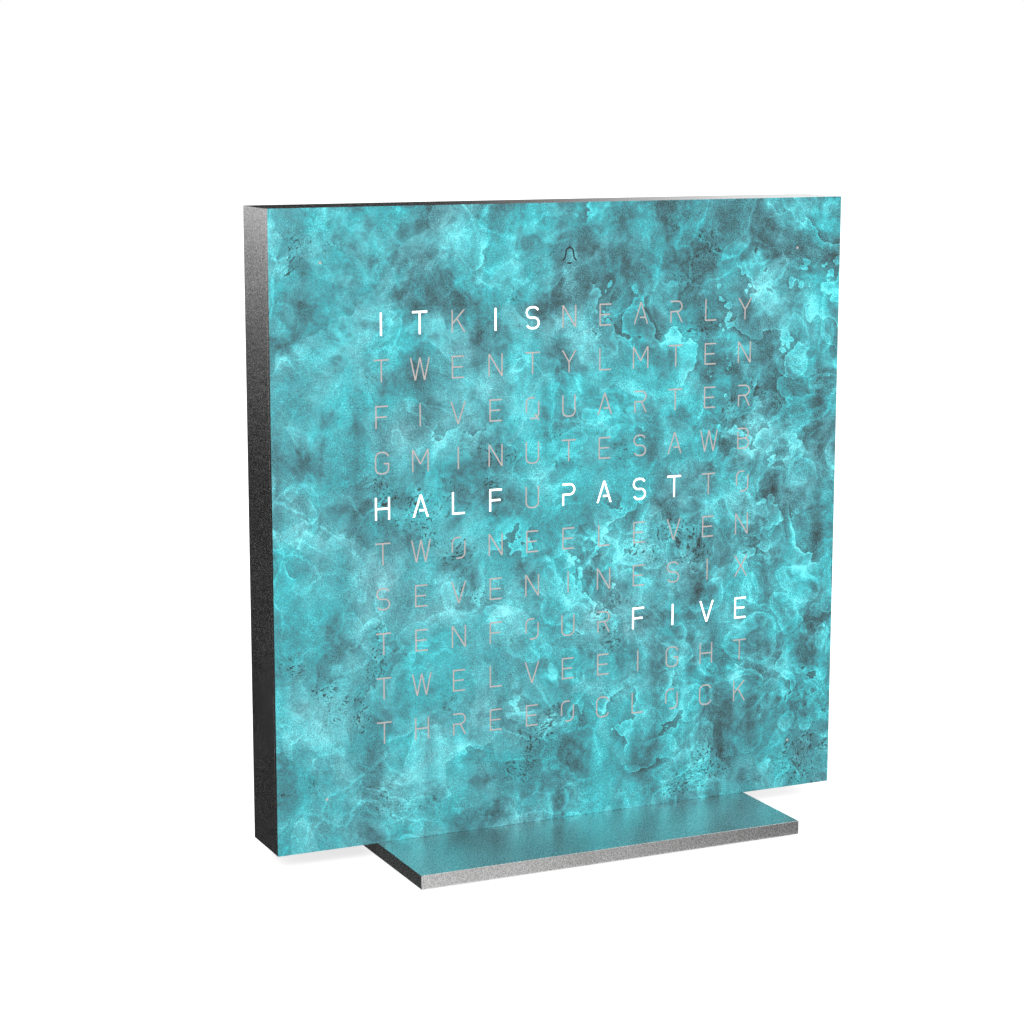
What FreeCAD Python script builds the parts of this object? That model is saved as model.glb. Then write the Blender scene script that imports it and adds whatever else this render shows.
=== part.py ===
"""Desk word clock: a square sheet-steel case on a flat steel base, with a letter dial lit from behind.

The clock is built as it comes apart on a bench. From the front: a steel cover that magnets hold
against the case, an opal diffuser, a moulded light grid with one tapered cell for each letter, the
LED board, an insulating film and the rear panel. Four long screws from the back clamp the stack.
The case stands on a flat base with rubber pads under it.
Two keys in the rear panel set the time, and a USB socket between them takes the supply.

Frame, in millimetres: X to the viewer's right, Y from the front of the clock to its back, Z up.
The origin is on the table, under the middle of the clock.
"""

import FreeCAD
import Part
import os

Vec = FreeCAD.Vector

# Case and cover
CASE_SIZE = 135.0            # width and height of the square case
CASE_WALL = 1.5
CRISP_BREAK = 0.05           # edges of the case and the base, as good as sharp
EDGE_BREAK = 0.2             # broken edges of keys, switches and the tapped bar
COVER_THICKNESS = 1.2
COVER_LIFT = 0.1             # the cover's lower edge clears the base it slides over
SLIP = 0.15                  # gap all round a part dropped into its seat
REAR_PANEL_THICKNESS = 1.2
FILM_THICKNESS = 0.2
REAR_CLEARANCE = 0.8         # tallest part on the board to the film

# Base
BASE_WIDTH = 90.0
BASE_THICKNESS = 3.0
BASE_FRONT_REACH = 24.0      # base in front of the cover face
BASE_REAR_REACH = 24.0       # base behind the case
PAD_THICKNESS = 0.5          # rubber pads under the base
PAD_DEPTH = 8.0
PAD_INSET = 4.0              # pad from the base edges
BASE_SCREW_COUNT = 2
BASE_SCREW_SPACING = 56.0
BASE_SCREW_RADIUS = 1.5
BASE_SCREW_HEAD_RADIUS = 2.9
BASE_SCREW_SHORT = 0.5       # screw tip below the top of the tapped bar
BAR_HEIGHT = 4.0             # tapped bar inside the case that the base screws pull on
BAR_END = 8.0                # bar beyond its outer screws
BAR_GAP = 0.2                # bar to the board in front of it and the film behind it

# Letter dial
LETTER_COLUMNS = 11
LETTER_ROWS = 10
DIAL_SIDE_MARGIN = 19.925    # case outline to the letter field, left and right
DIAL_END_MARGIN = 19.3       # case outline to the letter field, top and bottom
MINUTE_DOT_INSET = 11.1      # minute dots from the case outline
MINUTE_DOT_RADIUS = 0.3
ALARM_LIGHT_INSET = 11.2     # alarm light below the top of the case

# Light grid and its windows
GRID_DEPTH = 5.0
CELL_WALL = 0.8              # between two cells, at the diffuser
DIFFUSER_THICKNESS = 0.8
DIFFUSER_MARGIN = 2.2        # diffuser beyond the letter field
WINDOW_SIZE = 5.7            # opal window over a single light
POCKET_SKIN = 1.4            # front skin left over the lightening pockets
POCKET_RIM = 3.7             # material left above and below a pocket
POCKET_LENGTH = 11.0
POCKET_RIB = 1.6             # between two pockets
POCKETS_EACH_SIDE = 3

# Magnets and locating pins of the cover
MAGNET_WIDTH = 5.0
MAGNET_LENGTH = 10.0
MAGNET_THICKNESS = 2.0
MAGNET_INSET = 27.5          # magnets from the top and bottom of the case
PIN_RADIUS = 1.0
PIN_LENGTH = 2.6
PIN_CLEARANCE = 0.1

# Corner posts and the screws that clamp the stack
POST_SIZE = 6.5
CASE_SCREW_RADIUS = 1.25
CASE_SCREW_HEAD_RADIUS = 2.3
CASE_SCREW_BITE = 3.6        # screw inside the light grid
SCREW_CLEARANCE = 0.05       # screw to tapped hole, head to countersink
SOCKET_SHARE = 0.42          # hexagon socket's corner radius, as a share of the head's radius

# LED board
BOARD_THICKNESS = 1.6
BOARD_SLIP = 0.4
LED_WIDTH = 2.8
LED_HEIGHT = 3.5
LED_THICKNESS = 0.8
LED_CLEARANCE = 0.7          # LED to the wall of its cell

# Parts on the back of the board
CONTROLLER_SIZE = 9.0
CONTROLLER_THICKNESS = 0.9
CONTROLLER_BELOW = 8.0       # controller below the dial centre
DRIVER_WIDTH = 5.3
DRIVER_HEIGHT = 7.8
DRIVER_THICKNESS = 1.75
DRIVER_SPACING = 24.0
DRIVER_ABOVE = 24.0
CHIP_BEVEL = 0.3
LEAD_PITCH = 1.27
LEAD_WIDTH = 0.45
LEAD_REACH = 1.0             # how far a lead stands out of its package
LEAD_THICKNESS = 0.25
CAPACITOR_RADIUS = 3.15
CAPACITOR_HEIGHT = 5.0
CAPACITOR_GAP = 2.7
CAPACITOR_BELOW = 30.0
CRYSTAL_LENGTH = 11.0
CRYSTAL_WIDTH = 4.6
CRYSTAL_HEIGHT = 3.4
CRYSTAL_BEVEL = 1.2
CRYSTAL_ABOVE = 8.0
BACKUP_CELL_RADIUS = 6.2
BACKUP_CELL_THICKNESS = 2.0
CELL_HOLDER_WALL = 1.15
CELL_HOLDER_FLOOR = 0.8
CELL_HOLDER_LIP = 0.4        # holder beyond the cell
CELL_NOTCH = 5.0
SOUNDER_RADIUS = 6.0
SOUNDER_HEIGHT = 5.0
SOUNDER_PORT_RADIUS = 1.0
SOUNDER_PORT_DEPTH = 1.5
SOUND_SLOT_LENGTH = 8.0
SOUND_SLOT_WIDTH = 1.2
SOUND_SLOT_PITCH = 2.6
SOUND_SLOT_COUNT = 3
LOWER_PARTS_INSET = 27.5     # backup cell and sounder from the sides of the case
LOWER_PARTS_HEIGHT = 31.5    # backup cell and sounder above the bottom of the case
SPRING_STRIP = 0.3
SPRING_WIDTH = 5.0
SPRING_FOOT = 4.0
SPRING_BEND = 1.0            # inner radius of the bend
SPRING_ARM = 2.0

# Keys and USB socket
KEY_SPACING = 18.0           # key axes from the socket
CONTROL_HEIGHT = 16.0        # keys and socket above the bottom of the case
KEY_RADIUS = 3.0
KEY_PROUD = 0.9              # key behind the rear panel
KEY_FLANGE = 1.1             # flange beyond the key's radius
KEY_FLANGE_THICKNESS = 0.8
KEY_GAP = 0.15               # running gap round the key
KEY_TRAVEL = 0.5
SWITCH_SIZE = 6.2
SWITCH_HEIGHT = 3.5
SWITCH_FLOOR = 1.2
PLUNGER_SIZE = 3.2
PLUNGER_GAP = 0.15           # running gap round the plunger
PLUNGER_SPARE = 0.3          # free depth below the plunger at full travel
USB_WIDTH = 8.94
USB_HEIGHT = 3.26
USB_SHELL = 0.3
USB_SUNK = 0.2               # mouth of the socket inside the rear panel's face
USB_FLOOR = 1.5
USB_TONGUE_SIDE = 0.8        # space at each side of the contact tongue
USB_TONGUE_THICKNESS = 0.7
USB_TONGUE_SHORT = 0.8       # tongue stops this far inside the mouth
USB_FIT = 0.03               # insulator to shell
USB_PANEL_GAP = 0.3

# Depths, front to back. The case is as deep as the parts stacked in it.
TALLEST_ON_BOARD = max(
    SOUNDER_HEIGHT,
    CAPACITOR_HEIGHT,
    CRYSTAL_HEIGHT,
    CELL_HOLDER_FLOOR + BACKUP_CELL_THICKNESS + CELL_HOLDER_LIP,
    SWITCH_HEIGHT + KEY_TRAVEL + KEY_FLANGE_THICKNESS)
REAR_SPACE = TALLEST_ON_BOARD + REAR_CLEARANCE + FILM_THICKNESS
CASE_DEPTH = COVER_THICKNESS + GRID_DEPTH + BOARD_THICKNESS + REAR_SPACE + REAR_PANEL_THICKNESS
BASE_DEPTH = BASE_FRONT_REACH + CASE_DEPTH + BASE_REAR_REACH
BASE_FRONT = -BASE_DEPTH / 2
FACE = BASE_FRONT + BASE_FRONT_REACH
COVER_BACK = FACE + COVER_THICKNESS
CELL_FRONT = COVER_BACK + DIFFUSER_THICKNESS
GRID_BACK = COVER_BACK + GRID_DEPTH
BOARD_BACK = GRID_BACK + BOARD_THICKNESS
PANEL_FRONT = BOARD_BACK + REAR_SPACE
FILM_FRONT = PANEL_FRONT - FILM_THICKNESS
CASE_REAR = FACE + CASE_DEPTH
BAR_CENTRE = (BOARD_BACK + FILM_FRONT) / 2

# Heights
BASE_BOTTOM = PAD_THICKNESS
BASE_TOP = BASE_BOTTOM + BASE_THICKNESS
CASE_FLOOR = BASE_TOP + CASE_WALL
DIAL_CENTRE = BASE_TOP + CASE_SIZE / 2
CONTROL_LINE = BASE_TOP + CONTROL_HEIGHT
LOWER_PARTS_LINE = BASE_TOP + LOWER_PARTS_HEIGHT

# Across the dial, from its centre
CASE_INSIDE = CASE_SIZE / 2 - CASE_WALL
INSERT_SIZE = 2 * (CASE_INSIDE - SLIP)
POST_CENTRE = CASE_INSIDE - POST_SIZE / 2
COLUMN_PITCH = (CASE_SIZE - 2 * DIAL_SIDE_MARGIN) / LETTER_COLUMNS
ROW_PITCH = (CASE_SIZE - 2 * DIAL_END_MARGIN) / LETTER_ROWS
DIFFUSER_WIDTH = LETTER_COLUMNS * COLUMN_PITCH + 2 * DIFFUSER_MARGIN
DIFFUSER_HEIGHT = LETTER_ROWS * ROW_PITCH + 2 * DIFFUSER_MARGIN
SIDE_MARGIN_CENTRE = (INSERT_SIZE + DIFFUSER_WIDTH) / 4
END_MARGIN_CENTRE = (INSERT_SIZE + DIFFUSER_HEIGHT) / 4
MINUTE_REACH = CASE_SIZE / 2 - MINUTE_DOT_INSET
ALARM_HEIGHT = DIAL_CENTRE + CASE_SIZE / 2 - ALARM_LIGHT_INSET
MAGNET_REACH = CASE_SIZE / 2 - MAGNET_INSET
CELL_X = LOWER_PARTS_INSET - CASE_SIZE / 2
SOUNDER_X = CASE_SIZE / 2 - LOWER_PARTS_INSET


# ---- Solids to build with ----

def block(x0, x1, y0, y1, z0, z1):
    """Box between two opposite corners."""
    return Part.makeBox(x1 - x0, y1 - y0, z1 - z0, Vec(x0, y0, z0))


def slab(x, z, width, height, y0, y1):
    """Box centred on x and z, from y0 back to y1."""
    return block(x - width / 2, x + width / 2, y0, y1, z - height / 2, z + height / 2)


def rod(x, z, radius, y0, y1):
    """Round bar along Y."""
    return Part.makeCylinder(radius, y1 - y0, Vec(x, y0, z), Vec(0, 1, 0))


def post(x, y, radius, z0, z1):
    """Round bar along Z."""
    return Part.makeCylinder(radius, z1 - z0, Vec(x, y, z0), Vec(0, 0, 1))


def stadium(x, z, width, height, y0, y1):
    """Bar along Y with half-round sides."""
    radius = height / 2
    reach = width / 2 - radius
    middle = slab(x, z, 2 * reach, height, y0, y1)
    ends = [rod(x - reach, z, radius, y0, y1), rod(x + reach, z, radius, y0, y1)]
    return middle.fuse(ends).removeSplitter()


def edges_along(shape, direction):
    """Straight edges parallel to one axis."""
    found = []
    for edge in shape.Edges:
        run = edge.Vertexes[-1].Point - edge.Vertexes[0].Point
        if run.Length > 0 and run.cross(direction).Length < 1e-6 * run.Length:
            found.append(edge)
    return found


def rear_edges(shape):
    """Edges that lie in the rearmost plane of a shape."""
    rear = shape.BoundBox.YMax
    return [edge for edge in shape.Edges if rear - edge.BoundBox.YMin < 1e-3]


def cut_all(shape, tools):
    """Shape with every tool cut away at once."""
    return shape.cut(Part.makeCompound(tools))


def turned(outline, foot, direction):
    """Solid of revolution. The outline's points are (radius, distance along direction from foot)."""
    points = [Vec(radius, 0, distance) for radius, distance in outline]
    face = Part.Face(Part.makePolygon(points + points[:1]))
    solid = face.revolve(Vec(0, 0, 0), Vec(0, 0, 1), 360)
    solid.Placement = FreeCAD.Placement(foot, FreeCAD.Rotation(Vec(0, 0, 1), direction))
    return solid


def countersunk_screw(radius, head_radius, length, head, inward):
    """Countersunk screw with a hexagon socket. Its flat head lies at head and it points inward."""
    cone = head_radius - radius
    outline = [(0, 0), (head_radius, 0), (radius, cone), (radius, length), (0, length)]
    screw = turned(outline, head, inward)
    corners = []
    for step in range(7):
        turn = FreeCAD.Rotation(Vec(0, 0, 1), 60 * step)
        corners.append(turn.multVec(Vec(SOCKET_SHARE * head_radius, 0, 0)))
    socket = Part.Face(Part.makePolygon(corners)).extrude(Vec(0, 0, cone))
    socket.Placement = FreeCAD.Placement(head, FreeCAD.Rotation(Vec(0, 0, 1), inward))
    return screw.cut(socket)


def countersunk_hole(radius, head_radius, depth, head, inward):
    """What a countersunk screw needs cut away: its own outline and a little clearance."""
    wide = head_radius + SCREW_CLEARANCE
    narrow = radius + SCREW_CLEARANCE
    outline = [(0, 0), (wide, 0), (narrow, wide - narrow), (narrow, depth), (0, depth)]
    return turned(outline, head, inward)


# ---- Places that several parts share ----

def corners_at(reach):
    """The four corners of a square round the dial centre."""
    return [(sx * reach, DIAL_CENTRE + sz * reach) for sx in (-1, 1) for sz in (-1, 1)]


def corner_places():
    """Centres of the four corner posts."""
    return corners_at(POST_CENTRE)


def minute_places():
    """Centres of the four minute dots."""
    return corners_at(MINUTE_REACH)


def letter_places():
    """Centres of the letter cells, row by row from the top left."""
    places = []
    for row in range(LETTER_ROWS):
        z = DIAL_CENTRE + ((LETTER_ROWS - 1) / 2 - row) * ROW_PITCH
        for column in range(LETTER_COLUMNS):
            x = (column - (LETTER_COLUMNS - 1) / 2) * COLUMN_PITCH
            places.append((x, z))
    return places


def spot_places():
    """Centres of the single lights: the four minute dots and the alarm light."""
    return minute_places() + [(0, ALARM_HEIGHT)]


def margin_places(reach):
    """Places in both side margins, at this height from the dial centre."""
    return [(side * SIDE_MARGIN_CENTRE, DIAL_CENTRE + reach) for side in (-1, 1)]


def magnet_places():
    """Centres of the cover magnets, two in each side margin."""
    return margin_places(-MAGNET_REACH) + margin_places(MAGNET_REACH)


def pin_places():
    """Centres of the two pins that place the cover, halfway up to the upper magnets."""
    return margin_places(MAGNET_REACH / 2)


def base_screw_places():
    """X of each screw through the base."""
    first = -(BASE_SCREW_COUNT - 1) / 2
    return [(first + step) * BASE_SCREW_SPACING for step in range(BASE_SCREW_COUNT)]


def key_places():
    """X of the two keys, by name."""
    return {"left": -KEY_SPACING, "right": KEY_SPACING}


# ---- Base ----

def make_base_plate():
    """Flat steel base with countersunk screw holes in its underside."""
    half = BASE_WIDTH / 2
    plate = block(-half, half, BASE_FRONT, BASE_FRONT + BASE_DEPTH, BASE_BOTTOM, BASE_TOP)
    plate = plate.makeChamfer(CRISP_BREAK, plate.Edges)
    holes = []
    for x in base_screw_places():
        head = Vec(x, BAR_CENTRE, BASE_BOTTOM)
        holes.append(countersunk_hole(
            BASE_SCREW_RADIUS, BASE_SCREW_HEAD_RADIUS, BASE_THICKNESS, head, Vec(0, 0, 1)))
    return cut_all(plate, holes)


def make_base_pads():
    """Rubber pads along the front and rear edges of the underside."""
    half = BASE_WIDTH / 2 - PAD_INSET
    outer = BASE_DEPTH / 2 - PAD_INSET
    front = block(-half, half, -outer, -outer + PAD_DEPTH, 0, PAD_THICKNESS)
    rear = block(-half, half, outer - PAD_DEPTH, outer, 0, PAD_THICKNESS)
    return [front, rear]


def make_base_screws():
    """Screws up through the base and the case floor into the tapped bar."""
    length = CASE_FLOOR + BAR_HEIGHT - BASE_SCREW_SHORT - BASE_BOTTOM
    screws = []
    for x in base_screw_places():
        head = Vec(x, BAR_CENTRE, BASE_BOTTOM)
        screws.append(countersunk_screw(
            BASE_SCREW_RADIUS, BASE_SCREW_HEAD_RADIUS, length, head, Vec(0, 0, 1)))
    return screws


def make_tapped_bar():
    """Steel bar on the case floor that the base screws pull the case down with."""
    half = (BASE_SCREW_COUNT - 1) / 2 * BASE_SCREW_SPACING + BAR_END
    front = BOARD_BACK + BAR_GAP
    rear = FILM_FRONT - BAR_GAP
    bar = block(-half, half, front, rear, CASE_FLOOR, CASE_FLOOR + BAR_HEIGHT)
    bar = bar.makeChamfer(EDGE_BREAK, edges_along(bar, Vec(0, 0, 1)))
    tapped = BASE_SCREW_RADIUS + SCREW_CLEARANCE
    top = CASE_FLOOR + BAR_HEIGHT
    return cut_all(bar, [post(x, BAR_CENTRE, tapped, CASE_FLOOR, top) for x in base_screw_places()])


# ---- Case ----

def make_case():
    """Four steel walls with a drilled post in each corner, open at the front and the back."""
    outer = slab(0, DIAL_CENTRE, CASE_SIZE, CASE_SIZE, COVER_BACK, CASE_REAR)
    outer = outer.makeChamfer(CRISP_BREAK, outer.Edges)
    inside = slab(0, DIAL_CENTRE, 2 * CASE_INSIDE, 2 * CASE_INSIDE, COVER_BACK, CASE_REAR)
    posts = [slab(x, z, POST_SIZE, POST_SIZE, BOARD_BACK, PANEL_FRONT) for x, z in corner_places()]
    case = outer.cut(inside).fuse(posts)
    drilled = CASE_SCREW_RADIUS + SCREW_CLEARANCE
    passage = BASE_SCREW_RADIUS + SCREW_CLEARANCE
    cuts = [rod(x, z, drilled, BOARD_BACK, PANEL_FRONT) for x, z in corner_places()]
    cuts += [post(x, BAR_CENTRE, passage, BASE_TOP, CASE_FLOOR) for x in base_screw_places()]
    return cut_all(case, cuts).removeSplitter()


def sound_slots():
    """Slots in the rear panel over the sounder."""
    slots = []
    for step in range(SOUND_SLOT_COUNT):
        z = LOWER_PARTS_LINE + (step - (SOUND_SLOT_COUNT - 1) / 2) * SOUND_SLOT_PITCH
        slots.append(slab(SOUNDER_X, z, SOUND_SLOT_LENGTH, SOUND_SLOT_WIDTH, PANEL_FRONT, CASE_REAR))
    return slots


def make_rear_panel():
    """Steel panel let into the back of the case, with holes for keys, socket, sound and screws."""
    panel = slab(0, DIAL_CENTRE, INSERT_SIZE, INSERT_SIZE, PANEL_FRONT, CASE_REAR)
    usb_width = USB_WIDTH + 2 * USB_PANEL_GAP
    usb_height = USB_HEIGHT + 2 * USB_PANEL_GAP
    cuts = [stadium(0, CONTROL_LINE, usb_width, usb_height, PANEL_FRONT, CASE_REAR)]
    for x, z in corner_places():
        head = Vec(x, CASE_REAR, z)
        cuts.append(countersunk_hole(
            CASE_SCREW_RADIUS, CASE_SCREW_HEAD_RADIUS, REAR_PANEL_THICKNESS, head, Vec(0, -1, 0)))
    for x in key_places().values():
        cuts.append(rod(x, CONTROL_LINE, KEY_RADIUS + KEY_GAP, PANEL_FRONT, CASE_REAR))
    return cut_all(panel, cuts + sound_slots())


def make_case_screws():
    """Long screws that clamp the rear panel, posts, LED board and light grid together."""
    length = CASE_REAR - GRID_BACK + CASE_SCREW_BITE
    screws = []
    for x, z in corner_places():
        head = Vec(x, CASE_REAR, z)
        screws.append(countersunk_screw(
            CASE_SCREW_RADIUS, CASE_SCREW_HEAD_RADIUS, length, head, Vec(0, -1, 0)))
    return screws


def make_insulating_film():
    """Film inside the rear panel, cut out round the posts, keys, socket and sounder."""
    film = slab(0, DIAL_CENTRE, INSERT_SIZE, INSERT_SIZE, FILM_FRONT, PANEL_FRONT)
    notch = POST_SIZE + 2 * SLIP
    flange = 2 * (KEY_RADIUS + KEY_FLANGE + SLIP)
    sound = 2 * SOUNDER_RADIUS
    usb_width = USB_WIDTH + 2 * USB_PANEL_GAP
    usb_height = USB_HEIGHT + 2 * USB_PANEL_GAP
    cuts = [slab(x, z, notch, notch, FILM_FRONT, PANEL_FRONT) for x, z in corner_places()]
    cuts += [slab(x, CONTROL_LINE, flange, flange, FILM_FRONT, PANEL_FRONT) for x in key_places().values()]
    cuts.append(slab(0, CONTROL_LINE, usb_width, usb_height, FILM_FRONT, PANEL_FRONT))
    cuts.append(slab(SOUNDER_X, LOWER_PARTS_LINE, sound, sound, FILM_FRONT, PANEL_FRONT))
    return cut_all(film, cuts)


# ---- Light path ----

def led_seat(x, z, y0):
    """Clear space round one LED, from y0 back to the board."""
    width = LED_WIDTH + 2 * LED_CLEARANCE
    height = LED_HEIGHT + 2 * LED_CLEARANCE
    return slab(x, z, width, height, y0, GRID_BACK)


def letter_cell(x, z):
    """One tapered cell: as wide as the pitch allows at the diffuser, narrow round its LED."""
    wide = (COLUMN_PITCH - CELL_WALL) / 2
    tall = (ROW_PITCH - CELL_WALL) / 2
    rear_wide = LED_WIDTH / 2 + LED_CLEARANCE
    rear_tall = LED_HEIGHT / 2 + LED_CLEARANCE
    return Part.makeWedge(
        x - wide, CELL_FRONT, z - tall, z - rear_tall, x - rear_wide,
        x + wide, GRID_BACK, z + tall, z + rear_tall, x + rear_wide)


def pocket_cuts():
    """Lightening pockets in the back of the grid's top and bottom margins."""
    height = (INSERT_SIZE - DIFFUSER_HEIGHT) / 2 - 2 * POCKET_RIM
    pitch = POCKET_LENGTH + POCKET_RIB
    cuts = []
    for side in (-1, 1):
        z = DIAL_CENTRE + side * END_MARGIN_CENTRE
        for step in range(1, POCKETS_EACH_SIDE + 1):
            for x in (-step * pitch, step * pitch):
                cuts.append(slab(x, z, POCKET_LENGTH, height, COVER_BACK + POCKET_SKIN, GRID_BACK))
    return cuts


def margin_cuts():
    """Seats in the grid's margins for magnets, pins, windows with their lights, and screws."""
    cuts = []
    width = MAGNET_WIDTH + 2 * SLIP
    length = MAGNET_LENGTH + 2 * SLIP
    window = WINDOW_SIZE + 2 * SLIP
    for x, z in magnet_places():
        cuts.append(slab(x, z, width, length, COVER_BACK, COVER_BACK + MAGNET_THICKNESS))
    for x, z in pin_places():
        cuts.append(rod(x, z, PIN_RADIUS + PIN_CLEARANCE, COVER_BACK, COVER_BACK + PIN_LENGTH + SLIP))
    for x, z in spot_places():
        cuts.append(slab(x, z, window, window, COVER_BACK, CELL_FRONT))
        cuts.append(led_seat(x, z, CELL_FRONT))
    for x, z in corner_places():
        tapped = CASE_SCREW_RADIUS + SCREW_CLEARANCE
        cuts.append(rod(x, z, tapped, GRID_BACK - CASE_SCREW_BITE, GRID_BACK))
    return cuts


def make_light_grid():
    """Moulded grid: a tapered cell for each letter, seats for the sheet over them, and pockets."""
    grid = slab(0, DIAL_CENTRE, INSERT_SIZE, INSERT_SIZE, COVER_BACK, GRID_BACK)
    seat_width = DIFFUSER_WIDTH + 2 * SLIP
    seat_height = DIFFUSER_HEIGHT + 2 * SLIP
    cuts = [slab(0, DIAL_CENTRE, seat_width, seat_height, COVER_BACK, CELL_FRONT)]
    cuts += [letter_cell(x, z) for x, z in letter_places()]
    return cut_all(grid, cuts + margin_cuts() + pocket_cuts())


def make_diffuser():
    """Opal sheet over the letter cells, let into the front of the grid."""
    return slab(0, DIAL_CENTRE, DIFFUSER_WIDTH, DIFFUSER_HEIGHT, COVER_BACK, CELL_FRONT)


def make_spot_windows():
    """Small opal windows over the minute lights and the alarm light."""
    return [slab(x, z, WINDOW_SIZE, WINDOW_SIZE, COVER_BACK, CELL_FRONT) for x, z in spot_places()]


def make_cover_magnets():
    """Block magnets in the front of the grid."""
    rear = COVER_BACK + MAGNET_THICKNESS
    return [slab(x, z, MAGNET_WIDTH, MAGNET_LENGTH, COVER_BACK, rear) for x, z in magnet_places()]


# ---- Cover ----

def make_front_cover():
    """Steel cover plate with the four minute holes. Its letters are cut with the finish."""
    half = CASE_SIZE / 2
    cover = block(-half, half, FACE, COVER_BACK, DIAL_CENTRE - half + COVER_LIFT, DIAL_CENTRE + half)
    return cut_all(cover, [rod(x, z, MINUTE_DOT_RADIUS, FACE, COVER_BACK) for x, z in minute_places()])


def make_cover_pins():
    """Pins welded to the back of the cover, with a lead-in, that place it on the grid."""
    lead = PIN_RADIUS / 3
    outline = [
        (0, 0), (PIN_RADIUS, 0), (PIN_RADIUS, PIN_LENGTH - lead),
        (PIN_RADIUS - lead, PIN_LENGTH), (0, PIN_LENGTH)]
    return [turned(outline, Vec(x, COVER_BACK, z), Vec(0, 1, 0)) for x, z in pin_places()]


# ---- LED board and its parts ----

def make_led_board():
    """Circuit board clamped between the grid and the posts, drilled for the case screws."""
    size = 2 * (CASE_INSIDE - BOARD_SLIP)
    board = slab(0, DIAL_CENTRE, size, size, GRID_BACK, BOARD_BACK)
    drilled = CASE_SCREW_RADIUS + SCREW_CLEARANCE
    return cut_all(board, [rod(x, z, drilled, GRID_BACK, BOARD_BACK) for x, z in corner_places()])


def make_leds():
    """One LED package on the board behind each letter, each minute dot and the alarm sign."""
    front = GRID_BACK - LED_THICKNESS
    places = letter_places() + spot_places()
    return [slab(x, z, LED_WIDTH, LED_HEIGHT, front, GRID_BACK) for x, z in places]


def chip(x, z, width, height, thickness):
    """Package body with bevelled rear edges, on the back of the board."""
    body = slab(x, z, width, height, BOARD_BACK, BOARD_BACK + thickness)
    return body.makeChamfer(CHIP_BEVEL, rear_edges(body))


def leads(x, z):
    """Leads that stand out of both sides of a driver chip."""
    span = DRIVER_WIDTH + 2 * LEAD_REACH
    top = BOARD_BACK + LEAD_THICKNESS
    count = int((DRIVER_HEIGHT - LEAD_PITCH) / LEAD_PITCH)
    rows = [z + (step - (count - 1) / 2) * LEAD_PITCH for step in range(count)]
    return [slab(x, row, span, LEAD_WIDTH, BOARD_BACK, top) for row in rows]


def make_controller():
    """Flat leadless microcontroller."""
    z = DIAL_CENTRE - CONTROLLER_BELOW
    return chip(0, z, CONTROLLER_SIZE, CONTROLLER_SIZE, CONTROLLER_THICKNESS)


def make_led_drivers():
    """Three driver chips in a row, leaded on two sides."""
    z = DIAL_CENTRE + DRIVER_ABOVE
    chips = []
    for step in (-1, 0, 1):
        x = step * DRIVER_SPACING
        chips.append(chip(x, z, DRIVER_WIDTH, DRIVER_HEIGHT, DRIVER_THICKNESS).fuse(leads(x, z)))
    return chips


def make_capacitors():
    """Two can capacitors side by side."""
    z = DIAL_CENTRE - CAPACITOR_BELOW
    reach = CAPACITOR_RADIUS + CAPACITOR_GAP / 2
    top = BOARD_BACK + CAPACITOR_HEIGHT
    return [rod(side * reach, z, CAPACITOR_RADIUS, BOARD_BACK, top) for side in (-1, 1)]


def make_crystal():
    """Quartz crystal in its long can, with bevelled ends."""
    top = BOARD_BACK + CRYSTAL_HEIGHT
    can = slab(0, DIAL_CENTRE + CRYSTAL_ABOVE, CRYSTAL_LENGTH, CRYSTAL_WIDTH, BOARD_BACK, top)
    return can.makeChamfer(CRYSTAL_BEVEL, edges_along(can, Vec(0, 1, 0)))


def make_cell_holder():
    """Square holder for the backup cell, open at the back, with a notch to push the cell out."""
    size = 2 * (BACKUP_CELL_RADIUS + SLIP + CELL_HOLDER_WALL)
    floor = BOARD_BACK + CELL_HOLDER_FLOOR
    top = floor + BACKUP_CELL_THICKNESS + CELL_HOLDER_LIP
    holder = slab(CELL_X, LOWER_PARTS_LINE, size, size, BOARD_BACK, top)
    well = rod(CELL_X, LOWER_PARTS_LINE, BACKUP_CELL_RADIUS + SLIP, floor, top)
    notch = slab(CELL_X, LOWER_PARTS_LINE + size / 2, CELL_NOTCH, size / 2, floor, top)
    return cut_all(holder, [well, notch])


def make_backup_cell():
    """Coin cell that keeps the time when the clock is unplugged."""
    floor = BOARD_BACK + CELL_HOLDER_FLOOR
    return rod(CELL_X, LOWER_PARTS_LINE, BACKUP_CELL_RADIUS, floor, floor + BACKUP_CELL_THICKNESS)


def make_sounder():
    """Round alarm sounder with a port facing the sound slots."""
    top = BOARD_BACK + SOUNDER_HEIGHT
    can = rod(SOUNDER_X, LOWER_PARTS_LINE, SOUNDER_RADIUS, BOARD_BACK, top)
    return can.cut(rod(SOUNDER_X, LOWER_PARTS_LINE, SOUNDER_PORT_RADIUS, top - SOUNDER_PORT_DEPTH, top))


def make_touch_spring():
    """Bent strip that joins the board to the top wall, so that a touch on the case is felt."""
    wall = DIAL_CENTRE + CASE_INSIDE
    outer = SPRING_BEND + SPRING_STRIP
    bend_z = wall - outer
    bend_y = BOARD_BACK + outer
    left = -SPRING_WIDTH / 2
    right = SPRING_WIDTH / 2
    foot = block(left, right, BOARD_BACK, BOARD_BACK + SPRING_STRIP, bend_z - SPRING_FOOT, bend_z)
    axis = Vec(left, bend_y, bend_z)
    ring = Part.makeCylinder(outer, SPRING_WIDTH, axis, Vec(1, 0, 0))
    ring = ring.cut(Part.makeCylinder(SPRING_BEND, SPRING_WIDTH, axis, Vec(1, 0, 0)))
    bend = ring.common(block(left, right, BOARD_BACK, bend_y, bend_z, wall))
    arm = block(left, right, bend_y, bend_y + SPRING_ARM, wall - SPRING_STRIP, wall)
    return foot.fuse([bend, arm]).removeSplitter()


# ---- Keys and socket ----

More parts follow.
